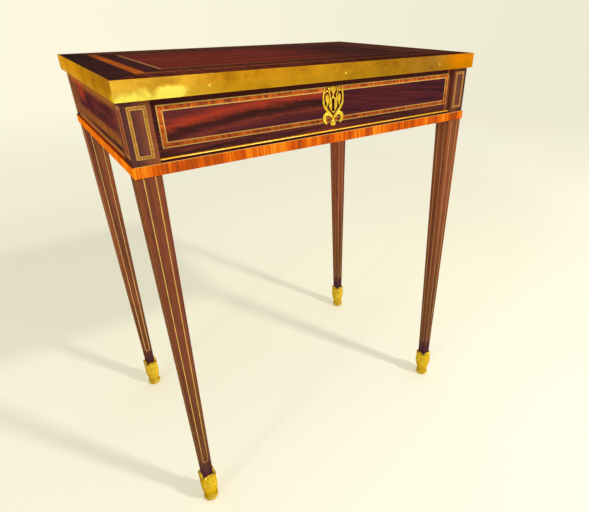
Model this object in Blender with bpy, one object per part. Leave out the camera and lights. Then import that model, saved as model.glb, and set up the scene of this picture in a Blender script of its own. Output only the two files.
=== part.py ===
"""Small four-legged side table with one frieze drawer.

The table stands on the origin with +Z up. Its front, with the drawer, faces -Y and its width runs along X.
All lengths are metres. Each piece of wood, veneer, brass or bronze is an object of its own.
"""
import math

import bmesh
import bpy
import numpy as np
from mathutils import Matrix

# Whole table
TOP_WIDTH = 0.590
TOP_DEPTH = 0.391
HEIGHT = 0.740

# Clearances between pieces
FIT = 0.0003
INLAY_FIT = 0.0002
DRAWER_SIDE_GAP = 0.0008
DRAWER_TOP_GAP = 0.0006
CUT_OVERRUN = 0.003

# Top board, its veneers and its brass rim
TOP_OVERHANG = 0.0065
TOP_THICK = 0.0215
VENEER = 0.0012
RIM_THICK = 0.0018
RIM_DROP = 0.0015
TOP_OUTER_BAND = 0.0362
TOP_CROSSBAND = 0.0135
TOP_INNER_BAND = 0.0248
TOP_STRING = 0.0020

# Legs and their inlaid strings
POST = 0.032
LEG_TOP = 0.0305
LEG_FOOT = 0.0165
LEG_SHOULDER = 0.0015
LEG_STRING = 0.0012
LEG_STRING_DEPTH = 0.0005
LEG_STRING_END = 0.104
STRING_SPACING_SHARE = 0.47
STRING_ARC_STEPS = 8

# Gilt bronze shoes of the legs
SABOT_HEIGHT = 0.065
SABOT_RADIUS = 0.0143
SABOT_SEAT = 0.0014
SOCKET_FLOOR = 0.030
SABOT_LEAVES = 8
SABOT_LEAF_SIDES = 6
SABOT_SCALLOP = 0.0022
SABOT_SCALLOP_POWER = 8
# Each row is a height as a share of the shoe's height, then three shares of its radius: the radius itself, how far
# the leaves stand out of it, and how much further they do at the leg's corners than at its sides.
SABOT_PROFILE_SHARES = (
    (0.000, 0.735, 0.00, 0.00), (0.025, 0.835, 0.01, 0.00), (0.075, 0.885, 0.02, 0.00), (0.125, 0.830, 0.01, 0.00),
    (0.160, 0.755, 0.00, 0.00), (0.215, 0.755, 0.01, 0.00), (0.340, 0.840, 0.04, 0.01), (0.490, 0.940, 0.06, 0.03),
    (0.620, 1.000, 0.07, 0.05), (0.700, 0.980, 0.06, 0.04), (0.760, 0.945, 0.03, 0.01), (0.860, 0.940, 0.02, -0.01),
    (0.950, 0.940, 0.03, -0.03), (1.000, 0.950, 0.03, -0.04),
)
SABOT_MOUTH_SHARES = (0.985, 0.880, 0.03, -0.03)
SABOT_MOUTH_FLOOR_SHARE = 0.860

# Frieze: aprons, rails and the orange band around their foot
FRIEZE_HEIGHT = 0.0892
APRON_THICK = 0.020
BASE_BAND_HEIGHT = 0.0142
BASE_BAND_PROUD = 0.0022
RAIL_HEIGHT = 0.0146
RAIL_DEPTH = 0.045
TENON_LENGTH = 0.012
TENON_THICK = 0.008
TENON_SHOULDER = 0.003
TOP_RAIL_HEIGHT = 0.0125
TOP_RAIL_DEPTH = 0.026

# Runners, kickers and stops
RUNNER_REACH = 0.020
GUIDE_HEIGHT = 0.016
KICKER_REACH = 0.017
STOP_WIDTH = 0.030
STOP_DEPTH = 0.015
STOP_HEIGHT = 0.0052
STOP_INSET = 0.0865

# Bandings let into the posts and aprons
BANDING_RISE = 0.0071
BANDING_DROP = 0.0059
POST_BANDING = 0.0042
POST_BANDING_SIDE = 0.00525
FRAME_STRING = 0.0012
APRON_STRING_SIDE = 0.0034
APRON_CROSSBAND_INSET = 0.0082
APRON_CROSSBAND = 0.0085

# Drawer
DRAWER_SETBACK = 0.006
DRAWER_BACK_GAP = 0.007
FRONT_THICK = 0.017
SIDE_THICK = 0.008
SIDE_DROP = 0.0007
BACK_THICK = 0.008
BACK_DROP = 0.002
BOTTOM_THICK = 0.005
BOTTOM_RISE = 0.007
GROOVE_DEPTH = 0.004
TAIL_COUNT = 3
TAIL_LENGTH = 0.012
TAIL_TIP_SHARE = 0.78
TAIL_ROOT_SHARE = 0.62
DRAWER_BAND_SIDE = 0.0061
DRAWER_BAND_LOW = 0.0142
DRAWER_BAND_HIGH = 0.0078
DRAWER_CROSSBAND = 0.0044
BEAD = 0.0040
BEAD_SIDES = 8

# Lock in the drawer front
LOCK_OFFSET = 0.0028
LOCK_WIDTH = 0.046
LOCK_HEIGHT = 0.043
LOCK_THICK = 0.0066
BOLT_WIDTH = 0.014
BOLT_THICK = 0.004
BOLT_LENGTH = 0.027
BOLT_THROW = 0.007
MORTISE_GAP = 0.0015

# Escutcheon: a pierced leaf ornament around the keyhole
ORNAMENT_WIDTH = 0.0370
ORNAMENT_LOW = 0.0103
ORNAMENT_TOP_GAP = 0.0059
ORNAMENT_DEPTH = 0.0012
STEM_SIDES = 8
STEM_STEPS = 3
KEYHOLE_LOW_SHARE = 0.329
KEYHOLE_HEIGHT_SHARE = 0.336
KEYHOLE_RADIUS = 0.0022
KEYHOLE_WAIST = 0.0010
KEYHOLE_STEPS = 8
# Stems of one half: each point is its place across as a share of the half width, its height as a share of the
# ornament's height, and half the stem's width as a share of the half width.
OUTER_STEM_SHARES = (
    (0.87, 0.955, 0.030), (0.94, 0.84, 0.060), (0.96, 0.70, 0.062), (0.90, 0.56, 0.070), (0.70, 0.42, 0.078),
    (0.42, 0.31, 0.080), (0.14, 0.22, 0.085), (-0.05, 0.16, 0.080),
)
OVAL_ARC_SHARES = (
    (0.94, 0.67, 0.040), (0.78, 0.80, 0.052), (0.58, 0.86, 0.056), (0.40, 0.82, 0.054), (0.30, 0.72, 0.056),
    (0.28, 0.62, 0.050),
)
BUD_SHARES = ((0.59, 0.80, 0.030), (0.61, 0.74, 0.105), (0.60, 0.67, 0.125), (0.56, 0.60, 0.090), (0.46, 0.52, 0.050),
              (0.40, 0.45, 0.045))
SCROLL_SHARES = (
    (0.10, 0.20, 0.075), (0.30, 0.27, 0.085), (0.58, 0.30, 0.115), (0.82, 0.25, 0.125), (0.87, 0.15, 0.110),
    (0.76, 0.07, 0.085), (0.66, 0.035, 0.045),
)
PETAL_SHARES = (
    ((0.08, 0.67, 0.045), (0.20, 0.83, 0.060), (0.28, 0.93, 0.085), (0.30, 0.965, 0.060)),
    ((0.42, 0.81, 0.045), (0.48, 0.89, 0.070), (0.58, 0.945, 0.075), (0.60, 0.955, 0.050)),
)
CROWN_SHARES = ((0.0, 0.68, 0.060), (0.0, 0.80, 0.060), (0.0, 0.90, 0.085), (0.0, 0.965, 0.100), (0.0, 0.985, 0.060))
STUB_SHARES = ((0.0, 0.22, 0.080), (0.0, 0.14, 0.130), (0.0, 0.08, 0.150), (0.0, 0.035, 0.250), (0.0, 0.015, 0.230))
SHIELD_SHARES = ((0.0, 0.21, 0.06), (0.0, 0.285, 0.12), (0.0, 0.36, 0.30), (0.0, 0.46, 0.40), (0.0, 0.56, 0.41),
                 (0.0, 0.64, 0.33), (0.0, 0.705, 0.14))

SMOOTH_ANGLE = math.radians(35)

# Sizes that follow from the ones above
HALF_X = TOP_WIDTH / 2 - TOP_OVERHANG
HALF_Y = TOP_DEPTH / 2 - TOP_OVERHANG
BOARD_LOW = HEIGHT - TOP_THICK
CASE_LOW = BOARD_LOW - FRIEZE_HEIGHT
CASE_TOP = BOARD_LOW - FIT
RAIL_TOP = CASE_LOW + RAIL_HEIGHT
POST_IN_X = HALF_X - POST
POST_IN_Y = HALF_Y - POST
BAND_TOP = CASE_LOW + BASE_BAND_HEIGHT
RIM_LOW = BOARD_LOW - RIM_DROP

FRONT_FACE = -HALF_Y + DRAWER_SETBACK
FRONT_BACK = FRONT_FACE + FRONT_THICK
DRAWER_HALF = POST_IN_X - DRAWER_SIDE_GAP
DRAWER_LOW = RAIL_TOP + FIT
DRAWER_TOP = RIM_LOW - DRAWER_TOP_GAP
DRAWER_END = HALF_Y - APRON_THICK - DRAWER_BACK_GAP
TOP_RAIL_LOW = CASE_TOP - TOP_RAIL_HEIGHT
SIDE_TOP = TOP_RAIL_LOW - SIDE_DROP
BOTTOM_LOW = DRAWER_LOW + BOTTOM_RISE
BOTTOM_TOP = BOTTOM_LOW + BOTTOM_THICK
BEHIND_FRONT = FRONT_BACK + FIT
ORNAMENT_BASE = DRAWER_LOW + ORNAMENT_LOW
ORNAMENT_HEIGHT = DRAWER_TOP - ORNAMENT_TOP_GAP - ORNAMENT_BASE

# Each face's own directions: across it, up it and straight out of it
FACES = {
    "front": Matrix(((1, 0, 0), (0, 0, -1), (0, 1, 0))).to_4x4(),
    "back": Matrix(((-1, 0, 0), (0, 0, 1), (0, 1, 0))).to_4x4(),
    "left": Matrix(((0, 0, -1), (-1, 0, 0), (0, 1, 0))).to_4x4(),
    "right": Matrix(((0, 0, 1), (1, 0, 0), (0, 1, 0))).to_4x4(),
    "top": Matrix.Identity(4),
}

MATERIALS = {}


def clear_scene():
    for item in list(bpy.data.objects):
        bpy.data.objects.remove(item, do_unlink=True)


def material(name, colour, roughness, metallic=0.0):
    """One Principled surface, made once and shared by the pieces of the same stuff."""
    if name not in MATERIALS:
        surface = bpy.data.materials.new(name)
        surface.use_nodes = True
        shader = surface.node_tree.nodes["Principled BSDF"]
        shader.inputs["Base Color"].default_value = (*colour, 1.0)
        shader.inputs["Roughness"].default_value = roughness
        shader.inputs["Metallic"].default_value = metallic
        MATERIALS[name] = surface
    return MATERIALS[name]


def mahogany():
    return material("mahogany", (0.13, 0.024, 0.014), 0.30)


def dark_mahogany():
    return material("dark_mahogany", (0.055, 0.014, 0.012), 0.28)


def tulipwood():
    return material("tulipwood", (0.62, 0.17, 0.02), 0.32)


def boxwood():
    return material("boxwood", (0.56, 0.36, 0.09), 0.40)


def oak():
    return material("oak", (0.36, 0.21, 0.10), 0.60)


def brass():
    return material("brass", (0.70, 0.43, 0.08), 0.28, 1.0)


def gilt_bronze():
    return material("gilt_bronze", (0.80, 0.50, 0.08), 0.25, 1.0)


def steel():
    return material("steel", (0.35, 0.34, 0.33), 0.40, 1.0)


def solid(name, points, faces, surface, smooth=False):
    """A closed mesh object with its faces turned outwards."""
    mesh = bpy.data.meshes.new(name)
    bm = bmesh.new()
    corners = [bm.verts.new(point) for point in points]
    for face in faces:
        bm.faces.new([corners[i] for i in face])
    bmesh.ops.recalc_face_normals(bm, faces=bm.faces)
    bm.to_mesh(mesh)
    bm.free()
    if smooth:
        mesh.shade_smooth()
        mesh.set_sharp_from_angle(angle=SMOOTH_ANGLE)
    mesh.materials.append(surface)
    item = bpy.data.objects.new(name, mesh)
    bpy.context.collection.objects.link(item)
    return item


def lofted(name, rings, surface, smooth=False):
    """Rings of as many points each, joined one to the next and capped at both ends."""
    count = len(rings[0])
    points = [point for ring in rings for point in ring]
    faces = [tuple(range(count)), tuple(range(len(points) - count, len(points)))]
    for k in range(len(rings) - 1):
        for i in range(count):
            j = (i + 1) % count
            faces.append((k * count + i, k * count + j, (k + 1) * count + j, (k + 1) * count + i))
    return solid(name, points, faces, surface, smooth)


def box(name, low, high, surface):
    """A board between two opposite corners, with its origin at its centre."""
    centre = [(a + b) / 2 for a, b in zip(low, high)]
    half = [(b - a) / 2 for a, b in zip(low, high)]
    rings = []
    for up in (-half[2], half[2]):
        rings.append([(-half[0], -half[1], up), (half[0], -half[1], up), (half[0], half[1], up),
                      (-half[0], half[1], up)])
    item = lofted(name, rings, surface)
    item.location = centre
    return item


def prism(name, face, outline, low, high, surface):
    """An outline on one face of the table, carried straight out of that face from low to high."""
    rings = [[(u, v, w) for u, v in outline] for w in (low, high)]
    item = lofted(name, rings, surface)
    item.matrix_world = FACES[face]
    return item


def frame(name, face, outer, width, low, high, surface, centre=0.0):
    """A mitred picture frame on one face: outer is left, right, bottom and top, width is the strip's."""
    left, right, bottom, top = outer
    inner = (left + width, right - width, bottom + width, top - width)
    points = []
    for a, b, c, d in (outer, inner):
        for w in (low, high):
            points += [(centre + a, c, w), (centre + b, c, w), (centre + b, d, w), (centre + a, d, w)]
    faces = []
    for i in range(4):
        j = (i + 1) % 4
        faces += [(i, j, 4 + j, 4 + i), (8 + i, 8 + j, 12 + j, 12 + i), (i, j, 8 + j, 8 + i),
                  (4 + i, 4 + j, 12 + j, 12 + i)]
    item = solid(name, points, faces, surface)
    item.matrix_world = FACES[face]
    return item


def grown(outer, by):
    return outer[0] - by, outer[1] + by, outer[2] - by, outer[3] + by


def tool(item):
    """Marks a shape that only cuts or joins another one."""
    item.hide_render = True
    item.display_type = "WIRE"
    return item


def shape(target, item, operation="DIFFERENCE"):
    """Cuts a tool out of a piece, or joins it on."""
    change = target.modifiers.new(item.name, "BOOLEAN")
    change.operation = operation
    change.object = tool(item)


def place_under(parent, pieces):
    for piece in pieces:
        piece.parent = parent
        piece.matrix_parent_inverse = parent.matrix_world.inverted()


def hidden_empty(name, place):
    item = bpy.data.objects.new(name, None)
    bpy.context.collection.objects.link(item)
    item.location = place
    bpy.context.view_layer.update()
    return item


def framed_groove(target, name, face, outer, width, surface_place, centre=0.0):
    """Cuts the shallow bed of an inlaid frame into a piece's face."""
    bed = frame(name + "_bed", face, grown(outer, INLAY_FIT), width + 2 * INLAY_FIT,
                surface_place - VENEER - INLAY_FIT, surface_place + CUT_OVERRUN, boxwood(), centre)
    shape(target, bed)


def inlay(name, face, outer, width, surface_place, surface, centre=0.0):
    return frame(name, face, outer, width, surface_place - VENEER, surface_place, surface, centre)


def leg_width(height):
    """The square leg's width, which grows evenly from the shoe to the frieze."""
    share = (height - SOCKET_FLOOR) / (CASE_LOW - SOCKET_FLOOR)
    return LEG_FOOT + (LEG_TOP - LEG_FOOT) * share


def leg_square(side_x, side_y, width, height):
    """A square whose two outer sides are flush with the frieze."""
    x_out, x_in = side_x * HALF_X, side_x * (HALF_X - width)
    y_out, y_in = side_y * HALF_Y, side_y * (HALF_Y - width)
    return [(x_out, y_out, height), (x_in, y_out, height), (x_in, y_in, height), (x_out, y_in, height)]


def string_outline(middle_at, face_at, end):
    """The string's U: two lines that follow the leg's taper and a half round between their lower ends."""
    half_share = STRING_SPACING_SHARE / 2
    top = CASE_LOW + LEG_SHOULDER / 2
    outline = []
    for offset, order in ((LEG_STRING / 2, 1), (-LEG_STRING / 2, -1)):
        half = half_share * leg_width(end) + offset
        side = [(middle_at(top) - half_share * leg_width(top) - offset, top)]
        for k in range(STRING_ARC_STEPS + 1):
            turn = math.pi * k / STRING_ARC_STEPS
            side.append((middle_at(end) - half * math.cos(turn), end - half * math.sin(turn)))
        side.append((middle_at(top) + half_share * leg_width(top) + offset, top))
        outline += side[::order]
    return [(u, v, face_at(v)) for u, v in outline]


def leg_string_beds(leg, side_x, side_y):
    """Cuts the bed of one inlaid string into each of the four faces of a leg."""
    end = LEG_STRING_END + STRING_SPACING_SHARE / 2 * leg_width(LEG_STRING_END)
    spans = {
        "front": (side_x, HALF_X, HALF_Y, side_y < 0),
        "back": (-side_x, HALF_X, HALF_Y, side_y > 0),
        "left": (-side_y, HALF_Y, HALF_X, side_x < 0),
        "right": (side_y, HALF_Y, HALF_X, side_x > 0),
    }
    for face, (side, across, out, outer_face) in spans.items():
        def middle_at(v, side=side, across=across):
            return side * (across - leg_width(v) / 2)

        def face_at(v, out=out, outer_face=outer_face):
            return out if outer_face else -(out - leg_width(v))

        outline = string_outline(middle_at, face_at, end)
        rings = [[(u, v, w + away) for u, v, w in outline] for away in (-LEG_STRING_DEPTH, CUT_OVERRUN)]
        bed = lofted(leg.name + "_string_bed_" + face, rings, boxwood())
        bed.matrix_world = FACES[face]
        shape(leg, bed)


def tenon_boxes():
    """Every tenon: the posts it enters and its corners as drawn for the left or front end."""
    low, high = CASE_LOW + TENON_SHOULDER, CASE_TOP - TENON_SHOULDER
    mid_x, mid_y = HALF_X - APRON_THICK / 2, HALF_Y - APRON_THICK / 2
    half = TENON_THICK / 2
    reach_x, reach_y = POST_IN_X + TENON_LENGTH, POST_IN_Y + TENON_LENGTH
    rail_low, rail_high = CASE_LOW + TENON_SHOULDER, RAIL_TOP - TENON_SHOULDER
    top_y = BEHIND_FRONT
    return {
        "apron_left": ((-mid_x - half, -reach_y, low), (-mid_x + half, reach_y, high)),
        "apron_right": ((mid_x - half, -reach_y, low), (mid_x + half, reach_y, high)),
        "apron_back": ((-reach_x, mid_y - half, low), (reach_x, mid_y + half, high)),
        "front_rail": ((-reach_x, -mid_y - half, rail_low), (reach_x, -mid_y + half, rail_high)),
        "front_top_rail": ((-reach_x, top_y, TOP_RAIL_LOW + TENON_SHOULDER),
                           (reach_x, -POST_IN_Y - TENON_SHOULDER, CASE_TOP - TENON_SHOULDER)),
    }


def tenoned(name, low, high, surface):
    """A board with a tenon at each end."""
    board = box(name, low, high, surface)
    start, end = tenon_boxes()[name]
    shape(board, box(name + "_tenon", start, end, surface), "UNION")
    return board


def make_legs():
    mortises = tenon_boxes()
    sunk = SOCKET_FLOOR + FIT
    for y_name, side_y in (("front", -1), ("back", 1)):
        for x_name, side_x in (("left", -1), ("right", 1)):
            rings = [leg_square(side_x, side_y, leg_width(z), z) for z in (sunk, CASE_LOW)]
            rings += [leg_square(side_x, side_y, POST, z) for z in (CASE_LOW + LEG_SHOULDER, CASE_TOP)]
            leg = lofted(f"leg_{y_name}_{x_name}", rings, mahogany())
            entering = [f"apron_{x_name}"]
            entering += ["apron_back"] if side_y > 0 else ["front_rail", "front_top_rail"]
            for joint in entering:
                low, high = mortises[joint]
                bed = box(f"{leg.name}_mortise_{joint}", [v - FIT for v in low], [v + FIT for v in high], oak())
                shape(leg, bed)
            leg_string_beds(leg, side_x, side_y)
            make_post_bandings(leg, y_name, x_name, side_x, side_y)


def make_post_bandings(leg, y_name, x_name, side_x, side_y):
    """The strung frame on each of the two outer faces of a post."""
    low, high = BAND_TOP + BANDING_RISE, RIM_LOW - BANDING_DROP
    half = POST / 2 - POST_BANDING_SIDE
    across = {"front": side_x, "back": -side_x, "left": -side_y, "right": side_y}
    for face, reach, out in ((y_name, HALF_X, HALF_Y), (x_name, HALF_Y, HALF_X)):
        centre = across[face] * (reach - POST / 2)
        kind = "end" if face == y_name else "side"
        name = f"post_banding_{y_name}_{x_name}_{kind}"
        outer = (-half, half, low, high)
        framed_groove(leg, name, face, outer, POST_BANDING, out, centre)
        inlay(name, face, outer, POST_BANDING, out, boxwood(), centre)


def sabot_turns():
    count = SABOT_LEAVES * SABOT_LEAF_SIDES
    return [math.tau * k / count for k in range(count)]


def sabot_ring(row, centre):
    """A round ring of the shoe, raised into leaves, whose upper rings also drop between the leaves."""
    up, share, leaf, corner = row
    ring = []
    for turn in sabot_turns():
        wave = math.cos(SABOT_LEAVES * turn)
        radius = SABOT_RADIUS * (share + leaf * wave - corner * math.cos(SABOT_LEAVES / 2 * turn))
        drop = SABOT_SCALLOP * (1 - wave) / 2 * up**SABOT_SCALLOP_POWER
        ring.append((centre[0] + radius * math.cos(turn), centre[1] + radius * math.sin(turn),
                     SABOT_HEIGHT * up - drop))
    return ring


def plain_ring(radius, height, centre):
    """A round ring with as many points as the leafy ones."""
    return [(centre[0] + radius * math.cos(t), centre[1] + radius * math.sin(t), height) for t in sabot_turns()]


def socket_ring(half, height, centre):
    """A square ring with as many points as the round ones."""
    ring = []
    for turn in sabot_turns():
        reach = half / max(abs(math.cos(turn)), abs(math.sin(turn)))
        ring.append((centre[0] + reach * math.cos(turn), centre[1] + reach * math.sin(turn), height))
    return ring


def make_sabots():
    """Leafy round cups whose square sockets hold the legs' ends."""
    mouth_floor = SABOT_MOUTH_FLOOR_SHARE * SABOT_HEIGHT - SABOT_SCALLOP / 2
    mouth_radius = math.hypot(1, 1) * (leg_width(mouth_floor) / 2 + FIT)
    for y_name, side_y in (("front", -1), ("back", 1)):
        for x_name, side_x in (("left", -1), ("right", 1)):
            def centre(height, side_x=side_x, side_y=side_y):
                """The middle of the leg, whose outer sides are upright."""
                half = leg_width(height) / 2
                return side_x * (HALF_X - half), side_y * (HALF_Y - half)

            rings = [sabot_ring(row, centre(row[0] * SABOT_HEIGHT))
                     for row in SABOT_PROFILE_SHARES + (SABOT_MOUTH_SHARES,)]
            rings.append(plain_ring(mouth_radius, mouth_floor, centre(mouth_floor)))
            for height in (mouth_floor - SABOT_SEAT, SOCKET_FLOOR):
                rings.append(socket_ring(leg_width(height) / 2 + FIT, height, centre(height)))
            lofted(f"sabot_{y_name}_{x_name}", rings, gilt_bronze(), smooth=True)


def make_frieze():
    """Aprons, rails and the orange crossbanded strips around their foot."""
    y_end, x_end = POST_IN_Y - FIT, POST_IN_X - FIT
    aprons = {
        "left": tenoned("apron_left", (-HALF_X, -y_end, CASE_LOW), (-HALF_X + APRON_THICK, y_end, CASE_TOP), oak()),
        "right": tenoned("apron_right", (HALF_X - APRON_THICK, -y_end, CASE_LOW), (HALF_X, y_end, CASE_TOP), oak()),
        "back": tenoned("apron_back", (-x_end, HALF_Y - APRON_THICK, CASE_LOW), (x_end, HALF_Y, CASE_TOP), oak()),
    }
    tenoned("front_rail", (-x_end, -HALF_Y, CASE_LOW), (x_end, -HALF_Y + RAIL_DEPTH, RAIL_TOP), oak())
    tenoned("front_top_rail", (-x_end, BEHIND_FRONT, TOP_RAIL_LOW), (x_end, BEHIND_FRONT + TOP_RAIL_DEPTH, CASE_TOP),
            oak())
    for face, apron in aprons.items():
        end, out = (x_end, HALF_Y) if face == "back" else (y_end, HALF_X)
        low, high = BAND_TOP + BANDING_RISE, RIM_LOW - BANDING_DROP
        half = end - APRON_STRING_SIDE
        outer = (-half, half, low, high)
        framed_groove(apron, f"apron_{face}_string", face, outer, FRAME_STRING, out)
        inlay(f"apron_{face}_string", face, outer, FRAME_STRING, out, boxwood())
        outer = grown(outer, -APRON_CROSSBAND_INSET)
        framed_groove(apron, f"apron_{face}_crossband", face, outer, APRON_CROSSBAND, out)
        inlay(f"apron_{face}_crossband", face, outer, APRON_CROSSBAND, out, tulipwood())
    for face, reach, out in (("front", HALF_X, HALF_Y), ("back", HALF_X, HALF_Y), ("left", HALF_Y, HALF_X),
                             ("right", HALF_Y, HALF_X)):
        mitred_strip(f"base_band_{face}", face, reach, out + FIT, out + BASE_BAND_PROUD, CASE_LOW, BAND_TOP,
                     tulipwood())


def mitred_strip(name, face, reach, near, far, low, high, surface):
    """A flat strip along one side, cut at 45 degrees at its ends. Reach is the half length at its inner side."""
    plan_x = {"front": (1, 0), "back": (-1, 0), "left": (0, -1), "right": (0, 1)}[face]
    plan_y = {"front": (0, -1), "back": (0, 1), "left": (-1, 0), "right": (1, 0)}[face]
    trim = FIT / 2
    start = near - (HALF_Y if face in ("front", "back") else HALF_X)
    inner = reach + start - trim
    outer = inner + far - near
    corners = ((-inner, near), (inner, near), (outer, far), (-outer, far))
    outline = [(u * plan_x[0] + w * plan_y[0], u * plan_x[1] + w * plan_y[1]) for u, w in corners]
    return prism(name, "top", outline, low, high, surface)


def make_runners():
    """What the drawer slides on, between and under, and the blocks that stop it."""
    rail_back = -HALF_Y + RAIL_DEPTH
    post_back = POST_IN_Y - FIT
    wall = HALF_X - APRON_THICK - FIT
    for side_name, side in (("left", -1), ("right", 1)):
        section = ((POST_IN_X - RUNNER_REACH, CASE_LOW), (wall, CASE_LOW), (wall, RAIL_TOP + GUIDE_HEIGHT),
                   (POST_IN_X, RAIL_TOP + GUIDE_HEIGHT), (POST_IN_X, RAIL_TOP), (POST_IN_X - RUNNER_REACH, RAIL_TOP))
        outline = [(-side * u, v) for u, v in section]
        prism(f"drawer_runner_{side_name}", "back", outline, rail_back + FIT, post_back, oak())
        near, far = sorted((side * (POST_IN_X - KICKER_REACH), side * wall))
        box(f"drawer_kicker_{side_name}", (near, BEHIND_FRONT + TOP_RAIL_DEPTH + FIT, TOP_RAIL_LOW),
            (far, post_back, CASE_TOP), oak())
        middle = side * (POST_IN_X - STOP_INSET)
        box(f"drawer_stop_{side_name}", (middle - STOP_WIDTH / 2, BEHIND_FRONT, RAIL_TOP + FIT),
            (middle + STOP_WIDTH / 2, BEHIND_FRONT + STOP_DEPTH, RAIL_TOP + FIT + STOP_HEIGHT), oak())


def make_top():
    """The core board, five veneers let into each other on it, and the brass strips around it."""
    half_x, half_y = TOP_WIDTH / 2, TOP_DEPTH / 2
    core_x, core_y = half_x - RIM_THICK - FIT, half_y - RIM_THICK - FIT
    core = box("top_core", (-core_x, -core_y, BOARD_LOW), (core_x, core_y, HEIGHT - VENEER - FIT), oak())
    lock_y = bolt_middle()
    mortise = box("bolt_mortise",
                  (LOCK_OFFSET - BOLT_WIDTH / 2 - MORTISE_GAP, lock_y - BOLT_THICK / 2 - MORTISE_GAP,
                   BOARD_LOW - CUT_OVERRUN),
                  (LOCK_OFFSET + BOLT_WIDTH / 2 + MORTISE_GAP, lock_y + BOLT_THICK / 2 + MORTISE_GAP,
                   DRAWER_TOP + BOLT_THROW + MORTISE_GAP), oak())
    shape(core, mortise)
    outer = (-core_x, core_x, -core_y, core_y)
    rings = (("top_outer_band", TOP_OUTER_BAND, dark_mahogany()), ("top_crossband", TOP_CROSSBAND, tulipwood()),
             ("top_inner_band", TOP_INNER_BAND, dark_mahogany()), ("top_string", TOP_STRING, boxwood()))
    for name, width, surface in rings:
        inlay(name, "top", outer, width - INLAY_FIT, HEIGHT, surface)
        outer = grown(outer, -width)
    box("top_panel", (outer[0], outer[2], HEIGHT - VENEER), (outer[1], outer[3], HEIGHT), mahogany())
    for face, reach, out in (("front", half_x, half_y), ("back", half_x, half_y), ("left", half_y, half_x),
                             ("right", half_y, half_x)):
        rim_strip(f"brass_rim_{face}", face, reach, out)


def rim_strip(name, face, reach, out):
    """One mitred strip of the brass rim, from just under the board to the top's own surface."""
    plan_x = {"front": (1, 0), "back": (-1, 0), "left": (0, -1), "right": (0, 1)}[face]
    plan_y = {"front": (0, -1), "back": (0, 1), "left": (-1, 0), "right": (1, 0)}[face]
    trim = FIT / 2
    corners = ((-reach + RIM_THICK + trim, out - RIM_THICK), (reach - RIM_THICK - trim, out - RIM_THICK),
               (reach - trim, out), (-reach + trim, out))
    outline = [(u * plan_x[0] + w * plan_y[0], u * plan_x[1] + w * plan_y[1]) for u, w in corners]
    return prism(name, "top", outline, RIM_LOW, HEIGHT, brass())


def tail(root, tip, middle, pitch):
    """One dovetail seen from the drawer's side: narrow at its root and wide at its tip."""
    root_half, tip_half = TAIL_ROOT_SHARE * pitch / 2, TAIL_TIP_SHARE * pitch / 2
    return [(root, middle - root_half), (tip, middle - tip_half), (tip, middle + tip_half),
            (root, middle + root_half)]


def socket(root, tip, middle, pitch, past_tip):
    """The room for a dovetail: its outline grown by the fit and carried straight on past its root and its tip."""
    way = math.copysign(1.0, tip - root)
    root_half, tip_half = TAIL_ROOT_SHARE * pitch / 2 + FIT, TAIL_TIP_SHARE * pitch / 2 + FIT
    half = [(root - way * CUT_OVERRUN, root_half), (root, root_half), (tip, tip_half),
            (tip + way * past_tip, tip_half)]
    return [(y, middle - z) for y, z in half] + [(y, middle + z) for y, z in reversed(half)]


def make_drawer():
    """The drawer box, dovetailed at its four corners, with its bottom held in grooves."""
    pitch = (SIDE_TOP - DRAWER_LOW) / TAIL_COUNT
    middles = [DRAWER_LOW + (k + 1 / 2) * pitch for k in range(TAIL_COUNT)]
    front_root, front_tip = FRONT_BACK + FIT, FRONT_BACK + FIT - TAIL_LENGTH
    back_root, back_tip = DRAWER_END - BACK_THICK - FIT, DRAWER_END
    inside = DRAWER_HALF - SIDE_THICK
    front = box("drawer_front", (-DRAWER_HALF, FRONT_FACE, DRAWER_LOW), (DRAWER_HALF, FRONT_BACK, DRAWER_TOP),
                mahogany())
    back = box("drawer_back", (-DRAWER_HALF, DRAWER_END - BACK_THICK, BOTTOM_TOP + FIT),
               (DRAWER_HALF, DRAWER_END, SIDE_TOP - BACK_DROP), oak())
    groove_low, groove_high = BOTTOM_LOW - FIT, BOTTOM_TOP + FIT
    pieces = [front, back]
    for side_name, side in (("left", -1), ("right", 1)):
        outline = [(front_root, DRAWER_LOW)]
        for middle in middles:
            outline += tail(front_root, front_tip, middle, pitch)
        outline += [(front_root, SIDE_TOP), (back_root, SIDE_TOP)]
        for middle in reversed(middles):
            outline += tail(back_root, back_tip, middle, pitch)[::-1]
        outline += [(back_root, DRAWER_LOW)]
        near, far = sorted((side * inside, side * DRAWER_HALF))
        board = prism(f"drawer_side_{side_name}", "right", outline, near, far, oak())
        pieces.append(board)
        near, far = sorted((side * (inside - CUT_OVERRUN), side * (inside + GROOVE_DEPTH)))
        groove = box(f"{board.name}_groove", (near, front_tip - CUT_OVERRUN, groove_low),
                     (far, DRAWER_END + CUT_OVERRUN, groove_high), oak())
        shape(board, groove)
        near, far = sorted((side * (inside - FIT), side * (DRAWER_HALF + CUT_OVERRUN)))
        for k, middle in enumerate(middles):
            outline = socket(front_root, front_tip, middle, pitch, FIT)
            shape(front, prism(f"front_socket_{side_name}_{k}", "right", outline, near, far, oak()))
        for k, middle in enumerate(middles):
            if middle + TAIL_TIP_SHARE * pitch / 2 <= BOTTOM_TOP + FIT:
                continue
            outline = socket(back_root, back_tip, middle, pitch, CUT_OVERRUN)
            shape(back, prism(f"back_socket_{side_name}_{k}", "right", outline, near, far, oak()))
    held = inside + GROOVE_DEPTH - FIT
    groove = box("drawer_front_groove", (-held - 2 * FIT, FRONT_BACK - GROOVE_DEPTH, groove_low),
                 (held + 2 * FIT, FRONT_BACK + CUT_OVERRUN, groove_high), oak())
    shape(front, groove)
    pieces.append(box("drawer_bottom", (-held, FRONT_BACK - GROOVE_DEPTH + FIT, BOTTOM_LOW),
                      (held, DRAWER_END, BOTTOM_TOP), oak()))
    pieces += front_trim(front)
    pieces += make_lock(front)
    return pieces


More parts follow.
